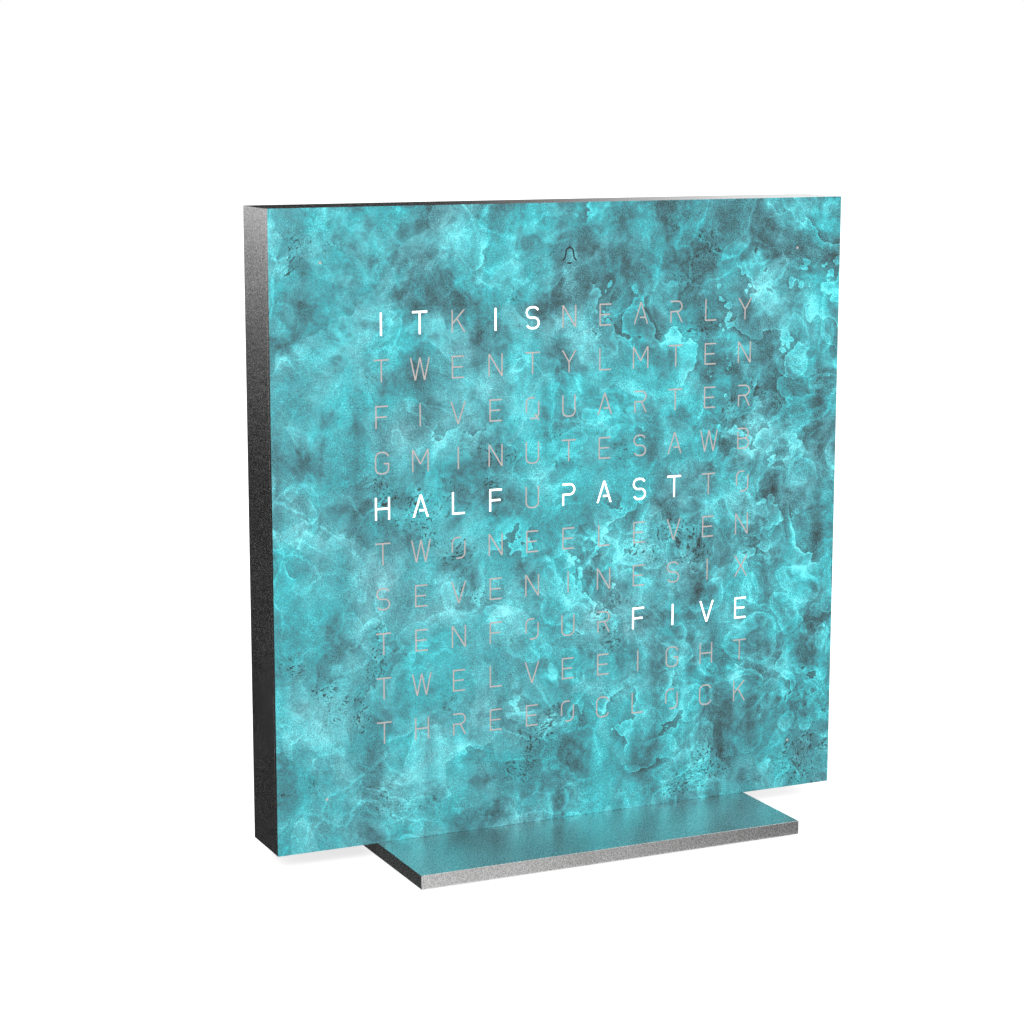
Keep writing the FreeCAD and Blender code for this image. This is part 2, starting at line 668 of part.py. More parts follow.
def make_key_switches():
    """Switch under each key: a square body with a square well for its plunger."""
    top = BOARD_BACK + SWITCH_HEIGHT
    well = PLUNGER_SIZE + 2 * PLUNGER_GAP
    bodies = []
    for x in key_places().values():
        body = slab(x, CONTROL_LINE, SWITCH_SIZE, SWITCH_SIZE, BOARD_BACK, top)
        body = body.makeChamfer(EDGE_BREAK, edges_along(body, Vec(0, 1, 0)))
        bodies.append(body.cut(slab(x, CONTROL_LINE, well, well, BOARD_BACK + SWITCH_FLOOR, top)))
    return bodies


def make_plunger(x):
    """Plunger between a key and its switch. It moves with the key."""
    tip = BOARD_BACK + SWITCH_FLOOR + PLUNGER_SPARE + KEY_TRAVEL
    return slab(x, CONTROL_LINE, PLUNGER_SIZE, PLUNGER_SIZE, tip, PANEL_FRONT - KEY_FLANGE_THICKNESS)


def make_key(x):
    """Round key: a flange held behind the rear panel and a cap outside it."""
    cap = rod(x, CONTROL_LINE, KEY_RADIUS, PANEL_FRONT, CASE_REAR + KEY_PROUD)
    cap = cap.makeChamfer(EDGE_BREAK, rear_edges(cap))
    flange_front = PANEL_FRONT - KEY_FLANGE_THICKNESS
    flange = rod(x, CONTROL_LINE, KEY_RADIUS + KEY_FLANGE, flange_front, PANEL_FRONT)
    return cap.fuse(flange)


def make_usb_shell():
    """Steel shell of the USB socket."""
    mouth = CASE_REAR - USB_SUNK
    shell = stadium(0, CONTROL_LINE, USB_WIDTH, USB_HEIGHT, BOARD_BACK, mouth)
    inner_width = USB_WIDTH - 2 * USB_SHELL
    inner_height = USB_HEIGHT - 2 * USB_SHELL
    return shell.cut(stadium(0, CONTROL_LINE, inner_width, inner_height, BOARD_BACK, mouth))


def make_usb_tongue():
    """Insulator of the USB socket: a floor that fills the shell and the contact tongue on it."""
    inner_width = USB_WIDTH - 2 * USB_SHELL
    inner_height = USB_HEIGHT - 2 * USB_SHELL
    floor_end = BOARD_BACK + USB_FLOOR
    floor = stadium(
        0, CONTROL_LINE, inner_width - 2 * USB_FIT, inner_height - 2 * USB_FIT, BOARD_BACK, floor_end)
    tip = CASE_REAR - USB_SUNK - USB_TONGUE_SHORT
    tongue_width = inner_width - 2 * USB_TONGUE_SIDE
    tongue = slab(0, CONTROL_LINE, tongue_width, USB_TONGUE_THICKNESS, floor_end, tip)
    return floor.fuse(tongue)


# ---- Files ----

def write(name, shape):
    """Write one node. A list of solids becomes one group."""
    parts = shape if isinstance(shape, list) else [shape]
    solids = [solid for part in parts for solid in part.Solids]
    group = solids[0] if len(solids) == 1 else Part.makeCompound(solids)
    group.exportStep(os.path.join("parts", name + ".step"))


def main():
    """Make every node and write it."""
    os.makedirs("parts", exist_ok=True)
    nodes = {
        "base_plate": make_base_plate(),
        "base_pads": make_base_pads(),
        "base_screws": make_base_screws(),
        "tapped_bar": make_tapped_bar(),
        "case": make_case(),
        "rear_panel": make_rear_panel(),
        "case_screws": make_case_screws(),
        "insulating_film": make_insulating_film(),
        "light_grid": make_light_grid(),
        "diffuser": make_diffuser(),
        "spot_windows": make_spot_windows(),
        "cover_magnets": make_cover_magnets(),
        "front_cover": make_front_cover(),
        "cover_pins": make_cover_pins(),
        "led_board": make_led_board(),
        "leds": make_leds(),
        "controller": make_controller(),
        "led_drivers": make_led_drivers(),
        "capacitors": make_capacitors(),
        "crystal": make_crystal(),
        "cell_holder": make_cell_holder(),
        "backup_cell": make_backup_cell(),
        "sounder": make_sounder(),
        "touch_spring": make_touch_spring(),
        "key_switches": make_key_switches(),
        "usb_shell": make_usb_shell(),
        "usb_tongue": make_usb_tongue(),
    }
    for side, x in key_places().items():
        nodes["key_" + side] = make_key(x)
        nodes["plunger_" + side] = make_plunger(x)
    for name, shape in nodes.items():
        write(name, shape)


main()
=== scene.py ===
# %% [markdown]
# # A word clock, dressed piece by piece
# The clock is a flat square steel box on a small steel foot. Its front cover
# carries a turquoise verdigris finish and 110 letters cut right through it.
# The construction model gives every solid its place, so this lesson loads it
# first as a fixed frame and then dresses it. Everything is in metres, with X
# to the right, Y into the depth and Z up.

# %% Load the frame
import math

import bmesh
import bpy
from mathutils import Matrix, Vector


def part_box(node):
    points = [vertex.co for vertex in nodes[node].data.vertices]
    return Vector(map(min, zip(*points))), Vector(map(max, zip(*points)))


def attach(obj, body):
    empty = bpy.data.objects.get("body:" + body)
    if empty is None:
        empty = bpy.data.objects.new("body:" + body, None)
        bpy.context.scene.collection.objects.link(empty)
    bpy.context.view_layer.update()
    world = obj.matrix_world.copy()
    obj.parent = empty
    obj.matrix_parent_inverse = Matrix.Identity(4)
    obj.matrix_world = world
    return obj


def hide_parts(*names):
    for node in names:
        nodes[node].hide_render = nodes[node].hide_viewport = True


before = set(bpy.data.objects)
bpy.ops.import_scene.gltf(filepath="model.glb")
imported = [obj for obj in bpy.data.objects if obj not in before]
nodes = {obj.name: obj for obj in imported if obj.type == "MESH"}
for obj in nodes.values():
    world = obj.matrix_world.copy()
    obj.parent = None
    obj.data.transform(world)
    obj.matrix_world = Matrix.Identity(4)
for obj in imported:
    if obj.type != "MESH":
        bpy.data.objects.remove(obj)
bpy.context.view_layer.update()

MM = 0.001

# %% [markdown]
# ## The camera
# The clock is seen from its left, a little above the top edge, with a short
# telephoto lens, so its uprights stay almost parallel. The place comes first,
# then the turn: pitch about X, a touch of roll, and yaw about Z.

# %% Make the camera
CAMERA_PLACE = Vector((-228.76, -470.43, 162.75)) * MM
CAMERA_YAW = 0.4352
CAMERA_PITCH = 0.1741
CAMERA_ROLL = -0.0006
FOCAL_PIXELS = 2423.53
IMAGE_PIXELS = 1024
SENSOR = 36.0

lens = bpy.data.cameras.new("camera")
lens.sensor_width = SENSOR
lens.lens = FOCAL_PIXELS / IMAGE_PIXELS * SENSOR
lens.clip_start = 0.01
camera = bpy.data.objects.new("camera", lens)
bpy.context.scene.collection.objects.link(camera)
camera.location = CAMERA_PLACE
camera.rotation_euler = (math.pi / 2 - CAMERA_PITCH, CAMERA_ROLL, -CAMERA_YAW)
bpy.context.scene.camera = camera
print("lens:", round(lens.lens, 1), "mm")

# %% [markdown]
# ## Nodes without tears
# A procedural finish is a chain of small nodes, and Blender's own calls for
# them are wordy. Two helpers keep the chains readable. `node` adds one node
# and fills its sockets: a plain value is set, and a socket of another node is
# wired in. `new_finish` opens a material with one Principled shader, which is
# enough for steel, plastic and verdigris alike.

# %% Helpers for finishes
def node(tree, kind, inputs=None, **settings):
    """Adds a node, sets its properties and fills or wires its sockets."""
    made = tree.nodes.new(kind)
    for name, value in settings.items():
        setattr(made, name, value)
    for key, value in (inputs or {}).items():
        socket = made.inputs[key]
        if isinstance(value, bpy.types.NodeSocket):
            tree.links.new(value, socket)
        else:
            socket.default_value = value
    return made


def new_finish(name, **sockets):
    """Opens a material with one Principled shader; returns both."""
    finish = bpy.data.materials.new(name)
    finish.use_nodes = True
    tree = finish.node_tree
    tree.nodes.clear()
    out = tree.nodes.new("ShaderNodeOutputMaterial")
    shader = node(tree, "ShaderNodeBsdfPrincipled", sockets)
    tree.links.new(shader.outputs["BSDF"], out.inputs["Surface"])
    return finish, tree, shader


print("helpers:", node.__name__, "and", new_finish.__name__)

# %% [markdown]
# ## The white world
# The clock stands in an even white studio. The world could simply be white,
# but then its light would wash out the colours, so it has two levels: full
# white where a camera, mirror or glass ray sees it, and less where it lights
# the clock. The Light Path node tells the rays apart.

# %% Light the world
WORLD_LEVEL = 0.80
scene = bpy.context.scene
scene.view_settings.view_transform = "Standard"


def sums(tree, operation, *values):
    """One math node."""
    return node(tree, "ShaderNodeMath", dict(enumerate(values)),
                operation=operation).outputs[0]


def remap(tree, value, low, high, to_low=0.0, to_high=1.0, soft=True):
    """Stretches low..high to to_low..to_high, with soft ends."""
    return node(tree, "ShaderNodeMapRange", {
        "Value": value, "From Min": low, "From Max": high,
        "To Min": to_low, "To Max": to_high},
        interpolation_type="SMOOTHSTEP" if soft else "LINEAR").outputs[0]


def seen_directly(tree, direct=1.0, mirrored=1.0):
    """One level for camera rays, one for mirror and glass rays, 0 for soft light."""
    ray = node(tree, "ShaderNodeLightPath").outputs
    reflected = sums(tree, "MAXIMUM", ray["Is Glossy Ray"], ray["Is Transmission Ray"])
    return sums(tree, "MAXIMUM", sums(tree, "MULTIPLY", ray["Is Camera Ray"], direct),
                sums(tree, "MULTIPLY", reflected, mirrored))


world = bpy.data.worlds.new("studio")
world.use_nodes = True
scene.world = world
tree = world.node_tree
tree.nodes.clear()
level = remap(tree, seen_directly(tree), 0, 1, WORLD_LEVEL, 1.0, soft=False)
sky = node(tree, "ShaderNodeBackground", {"Color": (1, 1, 1, 1), "Strength": level})
tree.links.new(sky.outputs[0],
               node(tree, "ShaderNodeOutputWorld").inputs["Surface"])
print("world: white when seen,", WORLD_LEVEL, "when it lights")

# %% [markdown]
# ## The floor
# The floor is one big sheet of pale paper. It is a little grey when lit, so
# that it can still show a shadow, and it adds some light of its own for camera
# and mirror rays only, which lifts it to white. Mirrors get less of that lift
# than the camera, or the steel above it would turn white as well.

# %% Lay the floor
FLOOR_SIZE = 6.0
PAPER = (0.86, 0.86, 0.86, 1)
FLOOR_LIFT = 0.70
MIRROR_LIFT = 0.20


def stage_object(name, mesh):
    """An object that belongs to the studio and not to the clock."""
    made = bpy.data.objects.new(name, mesh)
    scene.collection.objects.link(made)
    return made


floor_shape = bmesh.new()
bmesh.ops.create_grid(floor_shape, x_segments=1, y_segments=1, size=FLOOR_SIZE / 2)
floor_mesh = bpy.data.meshes.new("floor")
floor_shape.to_mesh(floor_mesh)
floor_shape.free()
floor = stage_object("floor", floor_mesh)
paper, tree, shader = new_finish("floor_paper")
tree.nodes.remove(shader)
matt = node(tree, "ShaderNodeBsdfDiffuse", {"Color": PAPER})
lift = node(tree, "ShaderNodeEmission", {
    "Color": (1, 1, 1, 1),
    "Strength": seen_directly(tree, FLOOR_LIFT, MIRROR_LIFT)})
both = node(tree, "ShaderNodeAddShader", {0: matt.outputs[0], 1: lift.outputs[0]})
tree.links.new(both.outputs[0], tree.nodes["Material Output"].inputs["Surface"])
floor_mesh.materials.append(paper)
print("floor:", FLOOR_SIZE, "m square")

# %% [markdown]
# ## Two soft lamps
# A square softbox from the front left models the cover, and a weaker one from
# the right keeps the far side open. Both are large, so their shadows are soft
# and their mirror images in the satin steel have no hard edge.

# %% Hang the lamps
CLOCK_MIDDLE = (0, 0, 0.07)
SOFTBOX = 0.9


def soft_lamp(name, place, aim, size, power):
    """A square softbox pointed at a spot."""
    light = bpy.data.lights.new(name, "AREA")
    light.size, light.energy = size, power
    lamp = bpy.data.objects.new(name, light)
    scene.collection.objects.link(lamp)
    lamp.location = place
    lamp.rotation_euler = (Vector(aim) - Vector(place)).to_track_quat("-Z", "Y").to_euler()
    print(name, "gives", power, "W")


soft_lamp("key_light", (-0.9, -1.3, 1.1), CLOCK_MIDDLE, SOFTBOX, 9.0)
soft_lamp("fill_light", (1.2, -0.9, 0.7), CLOCK_MIDDLE, SOFTBOX, 4.0)

# %% [markdown]
# ## Cards for the mirrors
# Satin steel has hardly a tone of its own: it shows what stands around it. A
# product photographer puts grey and black cards beside the piece, out of the
# picture, and sees them in the metal. These cards do the same. Only mirror
# rays see them, so they cast no shadow and take no light away, and a colour
# ramp grades each one from dark to light along one axis.

# %% Set up the cards
def steps(tree, value, *stops):
    """A colour ramp from (place, colour) stops."""
    made = node(tree, "ShaderNodeValToRGB", {"Fac": value})
    ramp = made.color_ramp
    ramp.elements.remove(ramp.elements[-1])
    for number, (place, colour) in enumerate(stops):
        stop = ramp.elements.new(place) if number else ramp.elements[0]
        stop.position, stop.color = place, colour
    return made.outputs[0]


def tone_card(name, low, high, along, *stops):
    """A card that only mirror rays see, graded along X (0), Y (1) or Z (2).

    Each stop is (place in metres, brightness)."""
    shape = bmesh.new()
    bmesh.ops.create_cube(shape, size=1)
    low, high = Vector(low), Vector(high)
    bmesh.ops.scale(shape, vec=high - low, verts=shape.verts)
    bmesh.ops.translate(shape, vec=(low + high) / 2, verts=shape.verts)
    mesh = bpy.data.meshes.new(name)
    shape.to_mesh(mesh)
    shape.free()
    card = stage_object(name, mesh)
    tone, tree, shader = new_finish(name)
    tree.nodes.remove(shader)
    own = node(tree, "ShaderNodeTexCoord").outputs["Object"]
    place = node(tree, "ShaderNodeSeparateXYZ", {0: own}).outputs[along]
    first, last = stops[0][0], stops[-1][0]
    share = remap(tree, place, first, last, soft=False)
    grade = steps(tree, share, *(((p - first) / (last - first), (v, v, v, 1))
                                 for p, v in stops))
    shine = node(tree, "ShaderNodeEmission", {"Color": grade, "Strength": 1.0})
    tree.links.new(shine.outputs[0], tree.nodes["Material Output"].inputs["Surface"])
    mesh.materials.append(tone)
    card.visible_camera = card.visible_diffuse = False
    card.visible_shadow = card.visible_transmission = False
    print(name, "has", len(stops), "tones")


# %% [markdown]
# ## Where the cards lie
# The dark card on the left gives the side of the case its long fade from light
# at the top to near black. The one on the right is a mid grey, so that this
# side still stands out from the white. A narrow card in front shades the edge
# of the foot from left to right, and one far behind shades the top edge.

# %% Place the cards
tone_card("card_side", (-2.20, -0.25, 0.0001), (-0.0452, 2.95, 0.0002), 1,
          (-0.25, 0.040), (0.35, 0.032), (0.55, 0.034), (0.75, 0.048), (0.92, 0.075),
          (1.12, 0.115), (1.33, 0.165), (1.56, 0.26), (1.80, 0.35), (2.20, 0.46),
          (2.70, 0.62), (2.95, 0.70))
tone_card("card_right", (0.0452, -0.030, 0.0001), (2.20, 2.00, 0.0002), 0,
          (0.0452, 0.22), (0.30, 0.42), (0.70, 0.60), (2.20, 0.72))
tone_card("card_front", (-0.20, -0.12, 0.0004), (0.20, -0.0320, 0.0005), 0,
          (-0.06, 0.76), (0.0, 0.47), (0.06, 0.12))
tone_card("card_back", (-0.14, 0.50, 0.0), (0.75, 0.502, 0.90), 0,
          (0.110, 0.0), (0.19, 0.01), (0.245, 0.23), (0.305, 0.69), (0.355, 1.03),
          (0.40, 1.22))

# %% [markdown]
# ## A ruler, a noise and a relief
# Every pattern is read with the same ruler: the object's own coordinates,
# counted in millimetres, so that a grain of 4.6 per millimetre is just that.
# `noise` is the cloudy pattern that nearly everything here is made of, and
# `relief` turns a pattern into fine bumps that catch the light.

# %% Helpers for patterns
def millimetres(tree, stretch=(1, 1, 1)):
    """The object's own coordinates, counted in millimetres."""
    own = node(tree, "ShaderNodeTexCoord").outputs["Object"]
    return node(tree, "ShaderNodeMapping", {
        "Vector": own, "Scale": [s / MM for s in stretch]}).outputs[0]


def noise(tree, at, per_mm, detail=2.0, rough=0.5, part=0, twist=0.0):
    """Cloudy noise; part 0 is a value and part 1 a colour."""
    return node(tree, "ShaderNodeTexNoise", {
        "Vector": at, "Scale": per_mm, "Detail": detail,
        "Roughness": rough, "Distortion": twist}).outputs[part]


def relief(tree, shader, height, strength, depth_mm):
    """Feeds a height in 0..1 into the shader as fine relief."""
    bump = node(tree, "ShaderNodeBump", {
        "Height": height, "Strength": strength, "Distance": depth_mm * MM})
    tree.links.new(bump.outputs[0], shader.inputs["Normal"])


def shades(tint, spread):
    """The tint made darker and lighter by the same share."""
    darker = tuple(c * (1 - spread) for c in tint[:3]) + (1,)
    lighter = tuple(min(1, c * (1 + spread)) for c in tint[:3]) + (1,)
    return darker, lighter


print("a tint of 0.5 spread by 0.2:", [round(s[0], 2) for s in shades((0.5,), 0.2)])

# %% [markdown]
# ## Satin steel
# The case, the foot and the back are stainless steel, bead blasted to a fine
# satin grain. Metal has no colour of its own, only a tint on its mirror, so
# the grain must live in three places: in the tint, in the roughness and in a
# very fine relief that breaks the mirror into sparkles. One helper mixes them.

# %% A recipe for steel
RAMP_LOW, RAMP_HIGH = 0.35, 0.65
GLOSS_LOW, GLOSS_HIGH = 0.82, 1.20


def satin_steel(name, tint, roughness, grain_per_mm, grain_mm, stretch=(1, 1, 1),
                speckle=0.20):
    """Blasted or brushed steel with tone, gloss and relief from fine noise."""
    finish, tree, shader = new_finish(name, Metallic=1.0)
    at = millimetres(tree, stretch)
    cloud = noise(tree, millimetres(tree), 0.05, 3.0)
    grain = noise(tree, at, grain_per_mm, 2.0, 0.85)
    speck = noise(tree, at, grain_per_mm * 2.3, 1.0, 0.6)
    tone = sums(tree, "ADD", sums(tree, "MULTIPLY", grain, 0.8),
                sums(tree, "MULTIPLY", cloud, 0.2))
    darker, lighter = shades(tint, speckle)
    colour = steps(tree, tone, (RAMP_LOW, darker), (RAMP_HIGH, lighter))
    tree.links.new(colour, shader.inputs["Base Color"])
    gloss = remap(tree, grain, 0.3, 0.7, roughness * GLOSS_LOW, roughness * GLOSS_HIGH)
    tree.links.new(gloss, shader.inputs["Roughness"])
    height = sums(tree, "ADD", grain, sums(tree, "MULTIPLY", speck, 0.5))
    relief(tree, shader, height, 0.5, grain_mm)
    print(name, "grain", grain_per_mm, "per mm, roughness", roughness)
    return finish


# %% [markdown]
# ## Mixing the steels
# The grain of the case and the foot is pulled out along the depth, because a
# side that is seen at a slant would otherwise look squeezed. A brushed metal,
# such as the skin of the cell or the socket, is the same recipe stretched the
# other way: many lines across and few along.

# %% Mix the steels
case_steel = satin_steel("case_steel", (0.62, 0.62, 0.615), 0.22, 4.6, 0.004,
                         (1, 0.40, 1), speckle=0.66)
base_steel = satin_steel("base_steel", (0.80, 0.79, 0.78), 0.30, 3.4, 0.006,
                         (1, 0.45, 1), speckle=0.46)
panel_steel = satin_steel("panel_steel", (0.56, 0.56, 0.555), 0.34, 3.0, 0.02)
screw_steel = satin_steel("screw_steel", (0.62, 0.61, 0.60), 0.25, 6.0, 0.005)
black_screw = satin_steel("black_screw", (0.05, 0.05, 0.052), 0.38, 5.0, 0.01)
can_metal = satin_steel("can_metal", (0.70, 0.70, 0.70), 0.22, 2.0, 0.004, (6, 6, 1))
magnet_plating = satin_steel("magnet_plating", (0.72, 0.70, 0.66), 0.15, 1.5, 0.004)
spring_alloy = satin_steel("spring_alloy", (0.62, 0.42, 0.22), 0.25, 4.0, 0.004)
socket_metal = satin_steel("socket_metal", (0.68, 0.68, 0.67), 0.2, 3.0, 0.004, (1, 8, 1))

# %% [markdown]
# ## Moulded plastics
# Chips, keys and the light grid are moulded. A moulded skin is nearly one
# colour, with a faint cloudiness, a spark-eroded grain and a soft gloss, and
# that is what keeps it from looking like paint from a tin.

# %% Mix the plastics
def moulded(name, tint, roughness, grain_per_mm=4.0, grain_mm=0.01, spread=0.12):
    """Plastic or rubber with slight clouds and a fine skin grain."""
    finish, tree, shader = new_finish(name, Metallic=0.0)
    at = millimetres(tree)
    cloud = noise(tree, at, 0.15, 3.0)
    grain = noise(tree, at, grain_per_mm, 2.0, 0.6)
    tone = sums(tree, "ADD", sums(tree, "MULTIPLY", cloud, 0.6),
                sums(tree, "MULTIPLY", grain, 0.4))
    darker, lighter = shades(tint, spread)
    colour = steps(tree, tone, (RAMP_LOW, darker), (RAMP_HIGH, lighter))
    tree.links.new(colour, shader.inputs["Base Color"])
    gloss = remap(tree, grain, 0.3, 0.7, roughness * 0.85, roughness * 1.15)
    tree.links.new(gloss, shader.inputs["Roughness"])
    relief(tree, shader, grain, 0.4, grain_mm)
    return finish


grid_plastic = moulded("grid_plastic", (0.62, 0.62, 0.61), 0.6)
opal_plastic = moulded("opal_plastic", (0.80, 0.80, 0.78), 0.35, spread=0.04)
chip_plastic = moulded("chip_plastic", (0.025, 0.025, 0.027), 0.5, spread=0.3)
film_plastic = moulded("film_plastic", (0.035, 0.035, 0.037), 0.25, spread=0.3)
key_plastic = moulded("key_plastic", (0.03, 0.03, 0.032), 0.28, spread=0.3)
socket_plastic = moulded("socket_plastic", (0.02, 0.02, 0.02), 0.4, spread=0.3)
pad_rubber = moulded("pad_rubber", (0.03, 0.03, 0.03), 0.8, 2.5, 0.05, 0.3)
led_package = moulded("led_package", (0.78, 0.76, 0.62), 0.35, spread=0.08)
board_laminate = moulded("board_laminate", (0.82, 0.82, 0.80), 0.32, 1.5, 0.006, 0.05)
print("finishes so far:", len(bpy.data.materials))

# %% [markdown]
# ## Dressing the solids that stay
# A solid whose shape is already right keeps its mesh and gets only a better
# finish, by assigning the material slots of its object.

# %% Give each solid its finish
finish_of = {
    "case": case_steel, "base_plate": base_steel, "tapped_bar": base_steel,
    "rear_panel": panel_steel, "base_screws": screw_steel,
    "cover_pins": screw_steel, "case_screws": black_screw,
    "base_pads": pad_rubber, "light_grid": grid_plastic,
    "diffuser": opal_plastic, "spot_windows": opal_plastic,
    "cover_magnets": magnet_plating, "led_board": board_laminate,
    "leds": led_package, "controller": chip_plastic,
    "led_drivers": chip_plastic, "capacitors": can_metal,
    "crystal": can_metal, "backup_cell": can_metal,
    "cell_holder": chip_plastic, "sounder": chip_plastic,
    "touch_spring": spring_alloy, "key_switches": chip_plastic,
    "plunger_left": chip_plastic, "plunger_right": chip_plastic,
    "usb_shell": socket_metal, "usb_tongue": socket_plastic,
    "insulating_film": film_plastic, "key_left": key_plastic,
    "key_right": key_plastic,
}
for name, finish in finish_of.items():
    for slot in nodes[name].material_slots:
        slot.material = finish
print("dressed:", len(finish_of), "of", len(nodes), "solids")

# %% [markdown]
# ## Verdigris: bend the ruler first
# The cover is steel with a copper skin that salts and acids have weathered to
# turquoise. No single noise looks like that, because every mark grew round the
# marks before it. So the ruler is bent before it is used: a warp pushes the
# place where the next pattern is read, and each ruler here starts from another
# one, so later patterns curl round the earlier ones.

# %% Bend the ruler
def moved(tree, at, x, z):
    """The same ruler read somewhere else, so that two patterns differ."""
    return node(tree, "ShaderNodeVectorMath", {0: at, 1: (x, 0, z)},
                operation="ADD").outputs[0]


def warped(tree, at, per_mm, reach_mm, detail, rough=0.5):
    """The ruler pushed about by a cloudy noise, up to half of reach_mm."""
    push = noise(tree, at, per_mm, detail, rough, part=1)
    centred = node(tree, "ShaderNodeVectorMath", {0: push, 1: (0.5, 0.5, 0.5)},
                   operation="SUBTRACT").outputs[0]
    far = node(tree, "ShaderNodeVectorMath", {0: centred, "Scale": reach_mm},
               operation="SCALE").outputs[0]
    return node(tree, "ShaderNodeVectorMath", {0: at, 1: far},
                operation="ADD").outputs[0]


verdigris, tree, shader = new_finish("verdigris", Metallic=0.0)
at = millimetres(tree)
bent = warped(tree, at, 0.05, 10, 1.0)
curled = warped(tree, bent, 0.20, 4.0, 2.0)
ragged = warped(tree, curled, 0.9, 1.3, 4.0, 0.65)
round_ruler = warped(tree, bent, 0.30, 1.8, 2.0)
swirl = warped(tree, curled, 0.10, 9.0, 2.0)
print("rulers bent with", len(tree.nodes), "nodes")

# %% [markdown]
# ## Clouds, mottling and grain
# The broad drift from slate to cyan is one soft cloud. A rough, twisted noise
# mottles it into feathers, and two fine noises make the powdery grain. Like
# the real skin, the sheet is not even: its clouds swell towards the top and
# its grain grows coarser towards the right, so both are multiplied by a slow
# slope along one axis.

# %% Make the ground pattern
across = node(tree, "ShaderNodeSeparateXYZ", {0: at}).outputs
X, Z = 0, 2

cloud = noise(tree, bent, 0.062, 4.0, 0.60)
mottle = noise(tree, moved(tree, at, 5, 3), 0.32, 8.0, 0.80, twist=1.2)
grit = noise(tree, at, 1.6, 3.0, 1.0)
grain = noise(tree, moved(tree, at, 9, 2), 3.6, 1.0, 1.0)


def sloped(tree, value, axis, low, high, to_low, to_high):
    """A pattern round its middle, stronger towards one side of the sheet."""
    slope = remap(tree, across[axis], low, high, to_low, to_high, soft=False)
    return sums(tree, "MULTIPLY", sums(tree, "SUBTRACT", value, 0.5), slope)


swell = sloped(tree, cloud, Z, 10, 130, 0.82, 1.34)
fine = sloped(tree, grain, X, -60, 60, 0.86, 1.20)
print("ground: clouds of", round(1 / 0.062), "mm, grain of", round(1 / 3.6, 1), "mm")

# %% [markdown]
# ## Slate and salt
# Where the bloom is eaten away the slate-grey metal shows, and its border is
# stippled. That comes from adding the fine grit before the threshold instead
# of after it: near the border the grit decides which side a spot falls on.
# Deposits of pale salt are made in the same way, but lighter.

# %% Eat the bloom away
def weigh(tree, *parts):
    """Adds up (value, middle, weight) parts: weight * (value - middle)."""
    total = 0.0
    for value, middle, weight in parts:
        total = node(tree, "ShaderNodeMath", {
            0: value, 1: weight, 2: total}, operation="MULTIPLY_ADD").outputs[0]
    offset = -sum(middle * weight for _, middle, weight in parts)
    return sums(tree, "ADD", total, offset)


eaten = noise(tree, moved(tree, curled, 60, 220), 0.095, 5.0, 0.62)
eaten = weigh(tree, (eaten, 0.0, 1.0), (grit, 0.5, 0.42), (grain, 0.5, 0.22),
              (across[X], 0.0, 0.0006), (across[Z], 60.0, 0.0007))
slate = remap(tree, eaten, 0.525, 0.60)
powder = noise(tree, moved(tree, curled, 17, 140), 0.13, 5.0, 0.62)
powder = weigh(tree, (powder, 0.0, 1.0), (grit, 0.5, -0.35), (grain, 0.5, 0.25))
salt = remap(tree, powder, 0.55, 0.64)
print("slate shows above 0.525, salt above 0.55")

# %% [markdown]
# ## Fronts of the bloom
# Where a front of growth stopped, it left a ragged ridge, and its light and
# shade are painted into the colour: a painted highlight on one side of the
# line and a painted shade on the other. A noise is the same on both sides of
# any line, so this one is a saw-tooth: the fraction of a rising noise climbs
# slowly and then drops at once. Small puffs push the line in and out. A mask
# lets the painted fronts through here and there, and more of them towards the right.

# %% Grow the fronts and paint their highlight and shade
def cells(tree, at, per_mm, detail=0.0, feature="F1"):
    """Voronoi cells: distance to the middle, or to the border."""
    return node(tree, "ShaderNodeTexVoronoi", {
        "Vector": at, "Scale": per_mm, "Detail": detail, "Roughness": 0.55,
        "Lacunarity": 2.2}, feature=feature).outputs["Distance"]


puff = cells(tree, moved(tree, bent, 3, 8), 0.30, 1.6)
front = noise(tree, moved(tree, curled, 37, 11), 0.062, 2.0)
front = weigh(tree, (front, 0.0, 4.6), (puff, 0.4, -0.42), (grit, 0.5, 0.12))
rise = sums(tree, "FRACT", front)
fade = sums(tree, "SUBTRACT", 1.0, rise)
painted_relief_place = noise(tree, moved(tree, bent, 90, 40), 0.055, 3.0)
painted_relief_place = weigh(tree, (painted_relief_place, 0.0, 1.0), (across[X], 60.0, 0.00045))
painted_relief_place = remap(tree, painted_relief_place, 0.505, 0.615)
# Painted highlight: a thin bright line and a broad bright shelf just after each front's drop.
painted_crest_highlight = sums(tree, "MULTIPLY", sums(tree, "POWER", fade, 9.0), painted_relief_place)
painted_shelf_highlight = sums(tree, "MULTIPLY", sums(tree, "POWER", fade, 2.0), painted_relief_place)
# Painted shade: a dark band just before each drop, standing in for the shadow under the ridge.
under = sums(tree, "MULTIPLY", sums(tree, "POWER", rise, 4.0), painted_relief_place)
print("fronts: crest, shelf and shade under the edge")

# %% [markdown]
# ## Veins
# A vein is a hairline. The place where a noise passes its middle is a long
# wandering line, so the distance of the noise from 0.5 gives one for nothing.
# The borders of large cells give a second kind, with forks in it.

# %% Draw the veins
def near(tree, value, middle, reach, height=1.0, soft=True):
    """A line where a pattern passes a value, fading over its reach."""
    away = sums(tree, "ABSOLUTE", sums(tree, "SUBTRACT", value, middle))
    return remap(tree, away, 0.0, reach, height, 0.0, soft)


def patches(tree, at, per_mm, low, high, x, z, detail=3.0):
    """A soft mask that lets a pattern show only here and there."""
    return remap(tree, noise(tree, moved(tree, at, x, z), per_mm, detail), low, high)


